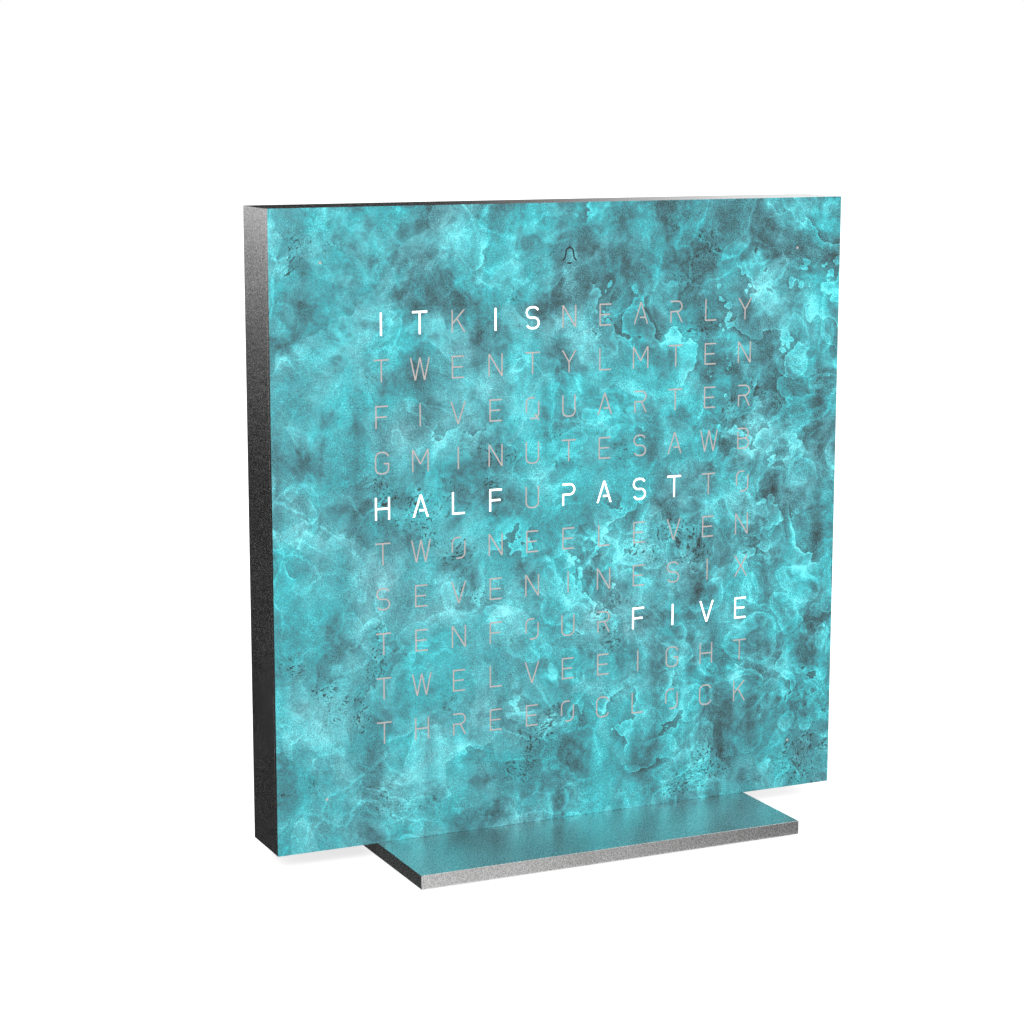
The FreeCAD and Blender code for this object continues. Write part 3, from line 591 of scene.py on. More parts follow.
slope = noise(tree, moved(tree, ragged, 7, 91), 0.06, 2.0)
vein = sums(tree, "MULTIPLY", near(tree, slope, 0.5, 0.010),
            patches(tree, at, 0.05, 0.48, 0.62, 10, 140))
border = remap(tree, cells(tree, moved(tree, ragged, 50, 50), 0.10, 0.0,
                           "DISTANCE_TO_EDGE"), 0.0, 0.05, 1.0, 0.0)
fork = sums(tree, "MULTIPLY", border, patches(tree, at, 0.04, 0.50, 0.64, 210, 14))
print("veins: hairlines and forks")

# %% [markdown]
# ## Drying lobes
# Low on the right the liquid dried in drops and left round lobes with a bright
# rim, as a coffee stain does. The distance from the middle of a cell is a
# circle already: a high power keeps only its outer part, and a sharp cut ends
# it. Large lobes get a second, inner rim, and small beads lie between them.

# %% Dry the lobes
def lobes(tree, ruler, per_mm, wobble, radius, power, edge):
    """Round marks, brightest inside their rim; also the raw distance."""
    away = weigh(tree, (cells(tree, ruler, per_mm), 0.0, 1.0), (mottle, 0.5, wobble))
    swelling = sums(tree, "POWER", remap(tree, away, 0.0, radius, soft=False), power)
    cut_off = remap(tree, away, radius, radius + edge, 1.0, 0.0)
    return sums(tree, "MULTIPLY", swelling, cut_off), away


lobe, lobe_away = lobes(tree, moved(tree, round_ruler, 25, 61), 0.13, 0.10, 0.50, 6.0, 0.03)
bead, _ = lobes(tree, moved(tree, round_ruler, 165, 21), 0.25, 0.14, 0.44, 5.0, 0.05)
inner_rim = near(tree, lobe_away, 0.42, 0.014, 0.45)
tide = weigh(tree, (lobe, 0.0, 1.0), (bead, 0.0, 0.6), (inner_rim, 0.0, 1.0))
tide_place = weigh(tree, (noise(tree, moved(tree, at, 64, 18), 0.035, 1.0), 0.0, 1.0),
                   (across[X], 0.0, 0.0016), (across[Z], 70.0, -0.0010))
tide = sums(tree, "MULTIPLY", tide, remap(tree, tide_place, 0.46, 0.62))
print("lobes of", round(0.5 / 0.13, 1), "mm and beads of", round(0.44 / 0.25, 1), "mm")

# %% [markdown]
# ## Flakes
# On the left the skin has pale thin flakes with straight edges, like torn
# paper. Voronoi gives each of its cells a colour by chance, and a threshold on
# that colour keeps some of the cells whole, edges and all. A soft mask then
# fades them, so that most flakes show an edge on one side only.

# %% Lay the flakes
chip = node(tree, "ShaderNodeTexVoronoi", {
    "Vector": moved(tree, round_ruler, 12, 160), "Scale": 0.105}).outputs["Color"]
chip = node(tree, "ShaderNodeSeparateColor", {0: chip}).outputs[0]
chip = remap(tree, chip, 0.60, 0.66)
chip_place = weigh(tree, (noise(tree, moved(tree, curled, 88, 44), 0.085, 2.0), 0.0, 1.0),
                   (across[X], 0.0, -0.0011))
flake = sums(tree, "MULTIPLY", chip, remap(tree, chip_place, 0.44, 0.60))
print("flakes about", round(1 / 0.105, 1), "mm across, two cells in five")

# %% [markdown]
# ## Folds and runs
# Folds are broad soft lines, the same trick as a vein with a longer reach, and
# most of them lie on the upper right. Runs are where the liquid ran down the
# sheet: their ruler is stretched along Z, so a round noise turns into streaks.

# %% Fold and run
fold = noise(tree, moved(tree, swirl, 71, 33), 0.10, 4.0, 0.60)
fold = sums(tree, "POWER", near(tree, fold, 0.5, 0.11, soft=False), 2.0)
fold_place = weigh(tree, (noise(tree, moved(tree, at, 130, 90), 0.03, 1.0), 0.0, 1.0),
                   (across[X], 0.0, 0.0022), (across[Z], 70.0, 0.0012))
fold = sums(tree, "MULTIPLY", sums(tree, "SUBTRACT", fold, 0.30),
            remap(tree, fold_place, 0.40, 0.64))

run_ruler = millimetres(tree, (0.16, 0.16, 0.012))
run = noise(tree, warped(tree, run_ruler, 1.5, 0.35, 2.0), 1.0, 2.0)
run_place = patches(tree, at, 0.03, 0.42, 0.60, 31, 175, 1.0)
run = sums(tree, "MULTIPLY", sums(tree, "SUBTRACT", run, 0.5), run_place)
print("runs about", round(1 / 0.16), "mm wide and", round(1 / 0.012), "mm long")

# %% [markdown]
# ## The tone of the bloom
# All the patterns meet in one tone, from 0 for slate to 1 for bright cyan.
# Each line gives a pattern, its middle and its weight. The middle is taken
# off first, so that a weight can be changed and the whole stays as bright.

# %% Weigh the tone
TONE_SPREAD = 1.01
TONE_MIDDLE = 0.558
raw_tone = weigh(
    tree,
    (swell, 0.0, 0.78),
    (mottle, 0.5, 0.74),
    (slate, 0.35, -0.21),
    (salt, 0.25, 0.13),
    # The next three lines add the fronts' painted highlights and painted shade to the tone.
    (painted_crest_highlight, 0.05, 0.20),
    (painted_shelf_highlight, 0.10, 0.17),
    (under, 0.06, -0.14),
    (vein, 0.0, 0.18),
    (fork, 0.0, 0.16),
    (tide, 0.07, 0.22),
    (flake, 0.14, 0.12),
    (run, 0.0, 0.80),
    (fold, 0.0, 0.12),
    (across[Z], 70.0, 0.0004),
    (grit, 0.5, 0.60),
    (fine, 0.0, 1.00))
tone = node(tree, "ShaderNodeMath", {0: raw_tone, 1: TONE_SPREAD, 2: TONE_MIDDLE},
            operation="MULTIPLY_ADD").outputs[0]
print("patterns weighed into one tone:", len(tree.nodes), "nodes")

# %% [markdown]
# ## The colour of the bloom
# One ramp turns the tone into slate, turquoise and cyan. Its stops are screen
# colours from 0 to 255, which `srgb` turns into the linear colour that nodes
# want. A second ramp, milkier and with more red in it, shows through in
# patches and in the flakes, where the salts lie thicker.

# %% Colour the bloom
def srgb(r, g, b):
    """A screen colour from 0 to 255 as a linear colour."""
    def straight(c):
        c /= 255
        return c / 12.92 if c <= 0.04045 else ((c + 0.055) / 1.055) ** 2.4
    return (straight(r), straight(g), straight(b), 1)


def blend(tree, share, under, over):
    """Two colours mixed."""
    return node(tree, "ShaderNodeMix", {0: share, 6: under, 7: over},
                data_type="RGBA").outputs[2]


BLOOM = [(60, 55, 60), (82, 61, 85), (105, 68, 110), (118, 74, 126), (133, 79, 142),
         (148, 84, 157), (163, 88, 173), (178, 93, 187), (193, 97, 202),
         (208, 104, 216), (222, 111, 231), (237, 120, 245), (250, 140, 254)]
BLOOM_DARK, BLOOM_LIGHT = BLOOM[0][0], BLOOM[-1][0]
LESS_RED, MORE_RED = -21, 36


def bloom_ramp(tree, tone, red):
    """(green, red, blue) stops; the extra red grows with the tone."""
    return steps(tree, tone, *(
        ((green - BLOOM_DARK) / (BLOOM_LIGHT - BLOOM_DARK),
         srgb(own + red * min(1, max(0.1, (green - 120) / 60)), green, blue))
        for green, own, blue in BLOOM))


milk = remap(tree, noise(tree, moved(tree, bent, 11, 77), 0.045, 6.0, 0.66),
             0.44, 0.84, soft=False)
milk = sums(tree, "MULTIPLY_ADD", flake, 0.18, milk)
colour = blend(tree, milk, bloom_ramp(tree, tone, LESS_RED), bloom_ramp(tree, tone, MORE_RED))
print("bloom from green", BLOOM_DARK, "to", BLOOM_LIGHT, "in", len(BLOOM), "stops")

# %% [markdown]
# ## Pits, gloss and relief
# Last come the pits, clusters of small dark holes, which are painted over the
# colour. The skin is a dry mineral, so it is rough and hardly mirrors. The
# same grit that speckles the colour also lifts the surface a few hundredths
# of a millimetre, so that colour and light agree.

# %% Finish the verdigris
PIT_COLOUR = srgb(52, 52, 50)
pit = remap(tree, noise(tree, moved(tree, curled, 3, 5), 1.5, 3.0, 0.6), 0.56, 0.60)
pits = sums(tree, "MULTIPLY", pit, patches(tree, bent, 0.075, 0.585, 0.675, 120, 33))
colour = blend(tree, sums(tree, "MULTIPLY", pits, 0.85), colour, PIT_COLOUR)
tree.links.new(colour, shader.inputs["Base Color"])
rough = remap(tree, grit, 0.3, 0.7, 0.62, 0.78)
tree.links.new(rough, shader.inputs["Roughness"])
shader.inputs["Specular IOR Level"].default_value = 0.25
height = weigh(tree, (grit, 0.5, 0.7), (grain, 0.5, 0.3))
relief(tree, shader, height, 0.35, 0.05)
print("verdigris nodes:", len(tree.nodes))

# %% [markdown]
# ## Letters as strokes
# On the real cover the letters are cut through the steel, in a plain narrow
# hand with strokes of one width. A font object would be quicker, but its
# outlines close round the middle of an O, and that middle would fall out of
# the sheet. So each letter is drawn as a sign maker would cut it: a few
# strokes, laid so that thin bridges hold every middle. A stroke is a straight
# bar, a slant with level ends, or an arc. All numbers are millimetres from
# the letter's centre.

# %% Name the strokes
STROKE = 0.33
LIT_STROKE = 0.42
TOP, MID, LOW = 2.225, 0.0, -2.225
CAP = TOP + STROKE / 2
LEFT = -1.28
SIDE = 1.45
ROUND = 1.15
IN = SIDE - ROUND
UP, DOWN = TOP - ROUND, LOW + ROUND
EDGE_L = LEFT - STROKE / 2


def bar(u0, v0, u1, v1):
    """A straight stroke with square ends."""
    return ("bar", u0, v0, u1, v1)


def slant(u0, v0, u1, v1):
    """A slanted stroke whose ends are cut level."""
    return ("slant", u0, v0, u1, v1)


def arc(u, v, r, start, end):
    """A curved stroke round (u, v), between two angles in degrees."""
    return ("arc", u, v, r, start, end)


def stem(u, low=-CAP, high=CAP):
    """An upright stroke."""
    return bar(u, low, u, high)


def arm(v, u0, u1):
    """A level stroke."""
    return bar(u0, v, u1, v)


print("capitals", round(2 * CAP, 2), "mm tall, strokes", STROKE, "and", LIT_STROKE, "mm")

# %% Draw the alphabet
ALPHABET = {
    "A": [slant(-1.6, -CAP, 0, CAP), slant(1.6, -CAP, 0, CAP), arm(-0.95, -0.30, 1.12)],
    "B": [arm(TOP, EDGE_L, 0.25), arc(0.25, (TOP + MID) / 2, TOP / 2, -90, 90),
          arm(MID, LEFT, 0.35), arc(0.35, LOW / 2, -LOW / 2, -90, 90),
          arm(LOW, LEFT, 0.35), stem(LEFT, -CAP, 1.45)],
    "C": [arc(-IN, UP, ROUND, 90, 180), arc(IN, UP, ROUND, 12, 90),
          arm(TOP, -IN, IN), bar(-SIDE, UP, -SIDE, DOWN),
          arc(-IN, DOWN, ROUND, 180, 270), arc(IN, DOWN, ROUND, 270, 348),
          arm(LOW, -IN, IN)],
    "E": [stem(LEFT), arm(TOP, LEFT, 1.45), arm(MID, LEFT, 1.12), arm(LOW, LEFT, 1.45)],
    "F": [stem(LEFT), arm(TOP, LEFT, 1.45), arm(MID, LEFT, 1.12)],
    "G": [arc(-IN, UP, ROUND, 90, 180), arc(IN, UP, ROUND, 12, 90),
          arm(TOP, -IN, IN), bar(-SIDE, UP, -SIDE, DOWN),
          arc(-IN, DOWN, ROUND, 180, 270), arc(IN, DOWN, ROUND, 270, 360),
          arm(LOW, -IN, IN), bar(SIDE, DOWN, SIDE, 0.05), arm(-0.15, 0.35, SIDE + STROKE / 2)],
    "H": [stem(-1.47), stem(1.47), arm(MID, -1.47, 1.47)],
    "I": [stem(0)],
    "K": [stem(LEFT), slant(LEFT, -0.55, 1.45, CAP), slant(1.55, -CAP, -0.15, 0.45)],
    "L": [stem(LEFT), arm(LOW, LEFT, 1.45)],
    "M": [stem(-1.75), stem(1.75), slant(-1.75, CAP, 0, -0.75), slant(1.75, CAP, 0, -0.75)],
    "N": [stem(-1.5), stem(1.5), slant(-1.5, CAP, 1.5, -CAP)],
    "O": [arc(-IN, UP, ROUND, 90, 180), arm(TOP, -IN, IN + 0.25),
          bar(-SIDE, UP, -SIDE, DOWN + 0.1), bar(SIDE, UP + 0.35, SIDE, DOWN),
          arc(IN, DOWN, ROUND, 270, 360), arm(LOW, -IN - 0.25, IN)],
    "P": [arm(TOP, EDGE_L, 0.30), arc(0.30, TOP / 2, TOP / 2, -90, 90),
          arm(MID, LEFT, 0.30), stem(LEFT, -CAP, MID + STROKE / 2)],
    "R": [arm(TOP, EDGE_L, 0.30), arc(0.30, TOP / 2, TOP / 2, -90, 90),
          arm(MID, LEFT, 0.30), stem(LEFT, -CAP, MID + STROKE / 2),
          slant(0.25, MID, 1.45, -CAP)],
    "S": [arc(0.25, TOP / 2, TOP / 2, 25, 90), arm(TOP, -0.3, 0.25),
          arc(-0.3, TOP / 2, TOP / 2, 90, 270), arm(MID, -0.3, 0.3),
          arc(0.3, LOW / 2, TOP / 2, -90, 90), arm(LOW, -0.25, 0.3),
          arc(-0.25, LOW / 2, TOP / 2, 205, 270)],
    "T": [arm(TOP, -1.7, 1.7), stem(0)],
    "U": [bar(-SIDE, CAP, -SIDE, DOWN), bar(SIDE, CAP, SIDE, DOWN),
          arc(-IN, DOWN, ROUND, 180, 270), arc(IN, DOWN, ROUND, 270, 360),
          arm(LOW, -IN, IN)],
    "V": [slant(-1.6, CAP, 0, -CAP), slant(1.6, CAP, 0, -CAP)],
    "W": [slant(-2.1, CAP, -1.05, -CAP), slant(0, CAP, -1.05, -CAP),
          slant(0, CAP, 1.05, -CAP), slant(2.1, CAP, 1.05, -CAP)],
    "X": [slant(-1.5, CAP, 1.5, -CAP), slant(1.5, CAP, -1.5, -CAP)],
    "Y": [slant(-1.6, CAP, 0, -0.2), slant(1.6, CAP, 0, -0.2), stem(0, -CAP, -0.05)],
}
ALPHABET["Q"] = ALPHABET["O"] + [slant(0.55, -1.25, 1.55, -CAP - 0.25)]
print("letters drawn:", "".join(sorted(ALPHABET)))

# %% [markdown]
# ## The dial
# The dial is eleven columns by ten rows of English time words, with a letter
# or two between them to fill each row. Each letter stands in the middle of a
# cell of the light grid behind the cover, so one pitch places them all. The
# lit words say the time: it is half past five.

# %% Set the words
DIAL = ["ITKISNEARLY", "TWENTYLMTEN", "FIVEQUARTER", "GMINUTESAWB",
        "HALFUPASTTO", "TWONEELEVEN", "SEVENINESIX", "TENFOURFIVE",
        "TWELVEEIGHT", "THREEOCLOCK"]
LIT = {0: (0, 1, 3, 4), 4: (0, 1, 2, 3, 5, 6, 7, 8), 7: (7, 8, 9, 10)}
COLUMNS, ROWS = len(DIAL[0]), len(DIAL)
COLUMN_PITCH, ROW_PITCH = 8.65, 9.64
DIAL_MIDDLE = 71.0


def letter_place(row, column):
    """The centre of a letter on the dial, in millimetres."""
    return ((column - (COLUMNS - 1) / 2) * COLUMN_PITCH,
            DIAL_MIDDLE + ((ROWS - 1) / 2 - row) * ROW_PITCH)


cover_low, cover_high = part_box("front_cover")
FACE, BACK = cover_low.y / MM, cover_high.y / MM
print("columns:", COLUMNS, "rows:", ROWS, "face at", round(FACE, 2), "mm")

# %% [markdown]
# ## From strokes to cutters
# A cutter is the solid shape of all the letters, pushed through the cover. A
# straight stroke is one flat face of four corners. An arc starts as an edge
# as long as the stroke is wide, and the spin operator sweeps it round.

# %% Lay a stroke
ARC_STEP = 12.0


def lay_arc(shape, centre, radius, start, end, half):
    """Spins an edge as wide as the stroke round the centre of the arc."""
    first = math.radians(start)
    along = Vector((math.cos(first), 0, math.sin(first)))
    ends = [shape.verts.new(centre + along * (radius + side * half)) for side in (-1, 1)]
    edge = shape.edges.new(ends)
    bmesh.ops.spin(shape, geom=ends + [edge], cent=centre, axis=(0, -1, 0),
                   angle=math.radians(end - start),
                   steps=max(2, round((end - start) / ARC_STEP)),
                   use_merge=end - start >= 360)


def lay_stroke(shape, stroke, at, width):
    """Lays one flat stroke on the plane y = 0 of the shape."""
    kind, u0, v0 = stroke[:3]
    u0, v0 = u0 + at[0], v0 + at[1]
    start, half = Vector((u0, 0, v0)), width / 2
    if kind == "arc":
        lay_arc(shape, start, *stroke[3:], half)
        return
    u1, v1 = stroke[3] + at[0], stroke[4] + at[1]
    end, run = Vector((u1, 0, v1)), Vector((u1 - u0, 0, v1 - v0))
    if kind == "slant":
        aside = Vector((half * run.length / abs(run.z), 0, 0))
    else:
        aside = Vector((-run.z, 0, run.x)).normalized() * half
    corners = (start - aside, start + aside, end + aside, end - aside)
    shape.faces.new([shape.verts.new(corner) for corner in corners])


print("an arc turns", ARC_STEP, "degrees a step")

# %% [markdown]
# Once the strokes of all the letters lie flat, a single extrusion gives them
# their depth. First every corner snaps to a grid of a quarter of a micron:
# where an arc runs into a bar their corners should be the same, but they
# differ in the last digit, and the cut would keep a wall as thin as that.
# The finished shape goes from millimetres to metres in its mesh, so the object
# itself stays at the origin, unscaled.

# %% Give the strokes depth
SNAP = 1 / 4096


def scene_object(name, shape):
    """Keeps a shape as an object of the scene."""
    mesh = bpy.data.meshes.new(name)
    shape.to_mesh(mesh)
    shape.free()
    made = bpy.data.objects.new(name, mesh)
    scene.collection.objects.link(made)
    return made


def finished(name, shape):
    """Keeps a shape that was drawn in millimetres, its faces outwards."""
    bmesh.ops.recalc_face_normals(shape, faces=shape.faces)
    bmesh.ops.scale(shape, vec=(MM, MM, MM), verts=shape.verts)
    return scene_object(name, shape)


def solid_strokes(name, strokes, front, back):
    """Strokes [(stroke, place, width)] as solids from front to back (mm)."""
    shape = bmesh.new()
    for stroke, at, width in strokes:
        lay_stroke(shape, stroke, at, width)
    for corner in shape.verts:
        corner.co = [round(value / SNAP) * SNAP for value in corner.co]
    grown = bmesh.ops.extrude_face_region(shape, geom=shape.faces[:])["geom"]
    far_side = [part for part in grown if isinstance(part, bmesh.types.BMVert)]
    bmesh.ops.translate(shape, vec=(0, back - front, 0), verts=far_side)
    bmesh.ops.translate(shape, vec=(0, front, 0), verts=shape.verts)
    return finished(name, shape)


print("corners snap to", round(SNAP * 1000, 2), "microns")

# %% [markdown]
# Two plainer shapes complete the set: a box between two corners, with its
# edges eased by a bevel, and short round bars for the minute dots.

# %% Make boxes and bars
def box_object(name, low, high, ease=0.0, segments=2):
    """A box between two corners (m), with its edges eased."""
    shape = bmesh.new()
    bmesh.ops.create_cube(shape, size=1)
    low, high = Vector(low), Vector(high)
    bmesh.ops.scale(shape, vec=high - low, verts=shape.verts)
    bmesh.ops.translate(shape, vec=(low + high) / 2, verts=shape.verts)
    if ease:
        bmesh.ops.bevel(shape, geom=shape.edges[:], offset=ease, segments=segments,
                        affect="EDGES", profile=0.5, material=-1)
    return scene_object(name, shape)


def round_bars(name, places, radius, front, back, sides=24):
    """Short round bars along Y at (x, z) places, as one object (mm)."""
    shape = bmesh.new()
    quarter = Matrix.Rotation(math.pi / 2, 3, "X")
    for x, z in places:
        bar_verts = bmesh.ops.create_cone(
            shape, cap_ends=True, segments=sides, radius1=radius, radius2=radius,
            depth=back - front)["verts"]
        bmesh.ops.rotate(shape, cent=(0, 0, 0), matrix=quarter, verts=bar_verts)
        bmesh.ops.translate(shape, vec=(x, (front + back) / 2, z), verts=bar_verts)
    return finished(name, shape)


print("cover box:", [round(v / MM, 2) for v in cover_high - cover_low], "mm")

# %% [markdown]
# ## Cutting with a boolean
# A boolean modifier set to EXACT also copes with strokes that overlap at the
# corner of a letter. The finished mesh is read from the evaluated object, and
# the modifier goes, so nothing live stays on the piece.

# %% Cut one piece with another
def cut(target, tool, operation):
    """Applies an exact boolean to the target's mesh and keeps the tool."""
    step = target.modifiers.new("cut", "BOOLEAN")
    step.operation, step.object = operation, tool
    step.solver, step.use_self = "EXACT", True
    seen = target.evaluated_get(bpy.context.evaluated_depsgraph_get())
    result = bpy.data.meshes.new_from_object(seen)
    target.modifiers.remove(step)
    old = target.data
    target.data = result
    result.name = old.name
    bpy.data.meshes.remove(old)
    print(target.name, len(result.polygons), "faces after", operation.lower())


def discard(made):
    """Removes a helper object and its mesh."""
    mesh = made.data
    bpy.data.objects.remove(made)
    bpy.data.meshes.remove(mesh)


# %% [markdown]
# ## The words, the dots and the bell
# Lit letters are cut a little wider: on the real clock the glow spills over
# the edges of the slots, and a wider slot looks the same from every side. The
# four dots in the corners count single minutes, and a small bell at the top
# shows that the alarm is set.

# %% Collect the strokes
lit_strokes, dim_strokes = [], []
for row, words in enumerate(DIAL):
    for column, letter in enumerate(words):
        at = letter_place(row, column)
        lit = column in LIT.get(row, ())
        chosen, width = (lit_strokes, LIT_STROKE) if lit else (dim_strokes, STROKE)
        chosen += [(stroke, at, width) for stroke in ALPHABET[letter]]

DOT_RADIUS = 0.30
DOT_OUT = 56.4
DOT_PLACES = [(side * DOT_OUT, DIAL_MIDDLE + up * DOT_OUT)
              for side in (-1, 1) for up in (-1, 1)]
BELL_PLACE = (0.0, 127.3)
BELL_LINE = 0.36
bell = [(stroke, BELL_PLACE, BELL_LINE) for stroke in (
    arc(0, 0.80, 0.85, 0, 180),
    bar(-0.85, 0.85, -1.05, -0.45), bar(0.85, 0.85, 1.05, -0.45),
    bar(-1.03, -0.35, -1.60, -1.15), bar(1.03, -0.35, 1.60, -1.15),
    arc(0, -1.25, 0.45, 200, 340), bar(0, 1.60, 0, 2.05))]
print("strokes:", len(lit_strokes), "lit,", len(dim_strokes), "dim,", len(bell), "in the bell")

# %% [markdown]
# ## Inlays for the slots
# The real slots are filled almost flush with a pale resin. Each inlay is what
# a thin slab and a cutter have in common, so it fits its slots exactly, and a
# little room in front and behind keeps it inside the sheet.

# %% Cut the inlays
BEYOND = 1.0
INLAY_FRONT, INLAY_BACK = FACE + 0.10, BACK - 0.05
SLAB_HALF, SLAB_LOW, SLAB_HIGH = 60.0, 10.0, 135.0
inlays = {}
for name, strokes in (("letters_dim", dim_strokes), ("letters_lit", lit_strokes),
                      ("alarm_sign", bell)):
    tool = solid_strokes(name + "_cutter", strokes, FACE - BEYOND, BACK + BEYOND)
    slab = box_object(name, Vector((-SLAB_HALF, INLAY_FRONT, SLAB_LOW)) * MM,
                      Vector((SLAB_HALF, INLAY_BACK, SLAB_HIGH)) * MM)
    cut(slab, tool, "INTERSECT")
    inlays[name] = (slab, tool)

dot_tool = round_bars("dot_cutter", DOT_PLACES, DOT_RADIUS, FACE - BEYOND, BACK + BEYOND)
dot_inlay = round_bars("minute_dots", DOT_PLACES, DOT_RADIUS, INLAY_FRONT, INLAY_BACK)
inlays["minute_dots"] = (dot_inlay, dot_tool)
print("inlays:", ", ".join(inlays))

# %% [markdown]
# ## The cover
# The cover is one flat sheet that lies against the case with no step. It
# starts as a plate with its edges eased by a few hundredths of a millimetre,
# which is enough to catch the light, and reaches down almost to the base. Then
# the cutters take out every slot.

# %% Cut the cover
EDGE_EASE = 0.03 * MM
FOOT_GAP = 0.02 * MM
cover_foot = Vector((cover_low.x, cover_low.y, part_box("base_plate")[1].z + FOOT_GAP))
cover = box_object("cover_sheet", cover_foot, cover_high, EDGE_EASE)
for slab, tool in inlays.values():
    cut(cover, tool, "DIFFERENCE")
    discard(tool)
print("cover cut down to", round(cover_foot.z / MM, 2), "mm above the table")

# %% [markdown]
# ## Three finishes on one sheet
# Only the front of the sheet has weathered. Its four edges are bare steel like
# the case, and the cut walls and the back are darker. The way a face looks
# and where it lies tell which finish it takes.

# %% Finish the cover
FRONT, EDGE, INSIDE = range(3)
FRONT_SKIN = (FACE + 0.05) * MM
RIM_START = cover_high.x - 0.2 * MM
for finish in (verdigris, case_steel, screw_steel):
    cover.data.materials.append(finish)
for face in cover.data.polygons:
    out = max(abs(face.center.x), abs(face.center.z - DIAL_MIDDLE * MM))
    if face.normal.y < -0.3 and face.center.y < FRONT_SKIN:
        face.material_index = FRONT
    elif out > RIM_START:
        face.material_index = EDGE
    else:
        face.material_index = INSIDE
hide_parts("front_cover")
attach(cover, "cover")
print("front faces:", sum(face.material_index == FRONT for face in cover.data.polygons))

# %% [markdown]
# ## Light in the letters
# Unlit, the resin is a pale warm grey. Lit, it has a lamp close behind it, so
# it glows far brighter than the room: it emits its own light, a little uneven
# because the resin is. A lamp behind each slot would show the same at the cost
# of 110 lamps. The bell is off. Its resin is as pale as that of the letters,
# but its slots are so thin that they lie in shade, so the bell's resin is given
# a dark colour as painted shade.

# %% Finish the letters
dim_resin = moulded("dim_resin", srgb(206, 197, 195), 0.5, 5.0, 0.01, 0.06)
# Painted shade: the bell's resin takes a dark colour for the shade in its thin slots.
painted_shade_resin = moulded("painted_shade_resin", srgb(30, 42, 46), 0.5, 5.0, 0.01, 0.2)

GLOW_LOW, GLOW_HIGH = 1.6, 1.9
lit_resin, tree, shader = new_finish("lit_resin", **{"Base Color": (0.9, 0.9, 0.9, 1)})
shader.inputs["Emission Color"].default_value = (1, 1, 1, 1)
uneven = noise(tree, millimetres(tree), 1.2)
glow = remap(tree, uneven, 0.3, 0.7, GLOW_LOW, GLOW_HIGH)
tree.links.new(glow, shader.inputs["Emission Strength"])

for name, finish in (("letters_dim", dim_resin), ("letters_lit", lit_resin),
                     ("alarm_sign", painted_shade_resin), ("minute_dots", dim_resin)):
    piece = inlays[name][0]
    piece.data.materials.append(finish)
    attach(piece, "cover")
    print(name, "takes", finish.name)

# %% [markdown]
# ## The diffuser
# Behind the cover lies a thin opal sheet that spreads the light of each lamp
# over its own cell. It shows when the cover is pulled off, so it is a plate
# cut by planes into the same cells as the dial: bisect_plane draws each line
# across the whole sheet without removing anything.

# %% Divide the diffuser
opal_low, opal_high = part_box("diffuser")
diffuser_sheet = box_object("diffuser_sheet", opal_low, opal_high)
shape = bmesh.new()
shape.from_mesh(diffuser_sheet.data)
cuts = [((column - COLUMNS / 2) * COLUMN_PITCH, 0, (1, 0, 0))
        for column in range(COLUMNS + 1)]
cuts += [(0, DIAL_MIDDLE + (row - ROWS / 2) * ROW_PITCH, (0, 0, 1))
         for row in range(ROWS + 1)]
for x, z, facing in cuts:
    bmesh.ops.bisect_plane(shape, geom=shape.verts[:] + shape.edges[:] + shape.faces[:],
                           plane_co=(x * MM, 0, z * MM), plane_no=facing)
shape.to_mesh(diffuser_sheet.data)
shape.free()
print("diffuser faces:", len(diffuser_sheet.data.polygons))

# %% [markdown]
# The glow is strongest in the middle of a cell, over the lamp. The ruler is
# folded into a single cell with FRACT, the same on both axes, and the distance
# from the middle of that cell fades the light.

# %% Make the opal glow
GLOW_NEAR, GLOW_FAR = 1.5, 0.15
glowing_opal, tree, shader = new_finish("glowing_opal", Roughness=0.4,
                                        **{"Base Color": (0.8, 0.8, 0.78, 1)})
axes = node(tree, "ShaderNodeSeparateXYZ", {0: millimetres(tree)}).outputs
aside = sums(tree, "FRACT", sums(tree, "MULTIPLY_ADD", axes[0], 1 / COLUMN_PITCH, 0.5))
aside = sums(tree, "MULTIPLY", sums(tree, "SUBTRACT", aside, 0.5), COLUMN_PITCH)
above = sums(tree, "SUBTRACT", axes[2], DIAL_MIDDLE)
above = sums(tree, "FRACT", sums(tree, "MULTIPLY", above, 1 / ROW_PITCH))
above = sums(tree, "MULTIPLY", sums(tree, "SUBTRACT", above, 0.5), ROW_PITCH)
away = sums(tree, "SQRT", sums(tree, "ADD", sums(tree, "MULTIPLY", aside, aside),
                               sums(tree, "MULTIPLY", above, above)))
fading = remap(tree, away, 0.5, 6.0, GLOW_NEAR, GLOW_FAR)
tree.links.new(fading, shader.inputs["Emission Strength"])
shader.inputs["Emission Color"].default_value = (1, 0.98, 0.94, 1)
print("glow from", GLOW_NEAR, "over a lamp to", GLOW_FAR, "at the border of its cell")

# %% Light the cells
UNLIT, GLOWING = range(2)
diffuser_sheet.data.materials.append(opal_plastic)
diffuser_sheet.data.materials.append(glowing_opal)
glowing = 0
for face in diffuser_sheet.data.polygons:
    column = math.floor(face.center.x / MM / COLUMN_PITCH + COLUMNS / 2)
    row = math.floor(ROWS / 2 - (face.center.z / MM - DIAL_MIDDLE) / ROW_PITCH)
    if face.normal.y < -0.9 and column in LIT.get(row, ()):
        face.material_index = GLOWING
        glowing += 1
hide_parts("diffuser")
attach(diffuser_sheet, "clock")
print("cells that glow:", glowing)

# %% [markdown]
# ## Key caps
# The two keys in the back are round: a flange that stays behind the panel, and
# a cap with a rounded rim and a shallow dish for the fingertip. They could be
# cylinders with bevels, but a dish is awkward that way. A profile of a few
# points spun about its axis gives all of it at once, as a lathe would.

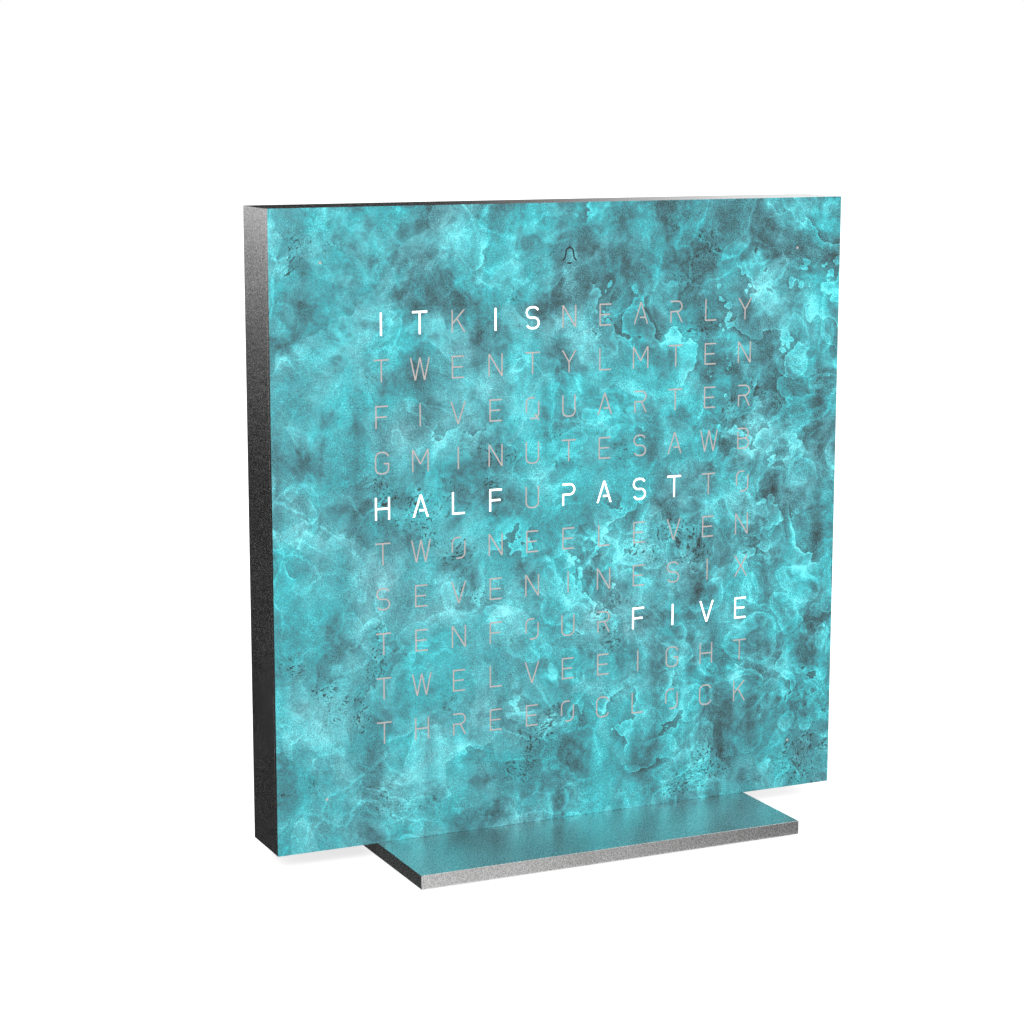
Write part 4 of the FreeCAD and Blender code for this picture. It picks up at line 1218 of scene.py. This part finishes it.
# %% Turn the key caps
KEY_PROFILE = [(0, 5.5), (3.98, 5.5), (4.1, 5.62), (4.1, 6.18), (3.98, 6.3), (3.08, 6.3),
               (3.0, 6.38), (3.0, 7.95), (2.97, 8.12), (2.88, 8.26), (2.74, 8.36),
               (2.56, 8.4), (2.40, 8.37), (2.1, 8.28), (1.5, 8.17), (0.8, 8.11), (0, 8.1)]
SHARP_ABOVE = math.radians(40)


def turned(name, profile, x, z, turns=64):
    """Spins (radius, y) points about the Y axis and places the piece (mm)."""
    shape = bmesh.new()
    points = [shape.verts.new((radius, y, 0)) for radius, y in profile]
    line = [shape.edges.new(pair) for pair in zip(points, points[1:])]
    bmesh.ops.spin(shape, geom=points + line, cent=(0, 0, 0), axis=(0, 1, 0),
                   angle=2 * math.pi, steps=turns, use_merge=True)
    bmesh.ops.remove_doubles(shape, verts=shape.verts, dist=1e-4)
    bmesh.ops.translate(shape, vec=(x, 0, z), verts=shape.verts)
    return finished(name, shape)


for side in ("left", "right"):
    key_low, key_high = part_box("key_" + side)
    middle = (key_low + key_high) / 2 / MM
    cap = turned("key_cap_" + side, KEY_PROFILE, middle.x, middle.z)
    for face in cap.data.polygons:
        face.use_smooth = True
    cap.data.set_sharp_from_angle(angle=SHARP_ABOVE)
    cap.data.materials.append(key_plastic)
    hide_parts("key_" + side)
    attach(cap, side + "_key")
    print(cap.name, len(cap.data.polygons), "faces")

# %% [markdown]
# ## Contacts of the socket
# Gilded strips lie on both sides of the tongue in the USB socket. They are too
# small for the construction model, yet they are what the eye looks for in a
# socket. Small bars do, drawn together in one mesh.

# %% Lay the contacts
CONTACTS = 12
TONGUE_HALF = 0.35
CONTACT_PITCH, CONTACT_WIDTH, CONTACT_LENGTH, CONTACT_PROUD = 0.5, 0.28, 3.4, 0.03
CONTACT_INSET = 2.0
contact_gold = satin_steel("contact_gold", (0.83, 0.60, 0.27), 0.2, 6.0, 0.003)
tongue_low, tongue_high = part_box("usb_tongue")
tongue_middle = (tongue_low + tongue_high) / 2 / MM
shape = bmesh.new()
for side in (-1, 1):
    for number in range(CONTACTS):
        strip = bmesh.ops.create_cube(shape, size=1)["verts"]
        bmesh.ops.scale(shape, vec=(CONTACT_WIDTH, CONTACT_LENGTH, CONTACT_PROUD), verts=strip)
        bmesh.ops.translate(shape, verts=strip, vec=(
            tongue_middle.x + (number - (CONTACTS - 1) / 2) * CONTACT_PITCH,
            tongue_high.y / MM - CONTACT_INSET,
            tongue_middle.z + side * (TONGUE_HALF + CONTACT_PROUD / 2)))
contacts = finished("usb_contacts", shape)
contacts.data.materials.append(contact_gold)
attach(contacts, "clock")
print("contacts:", len(contacts.data.polygons), "faces")
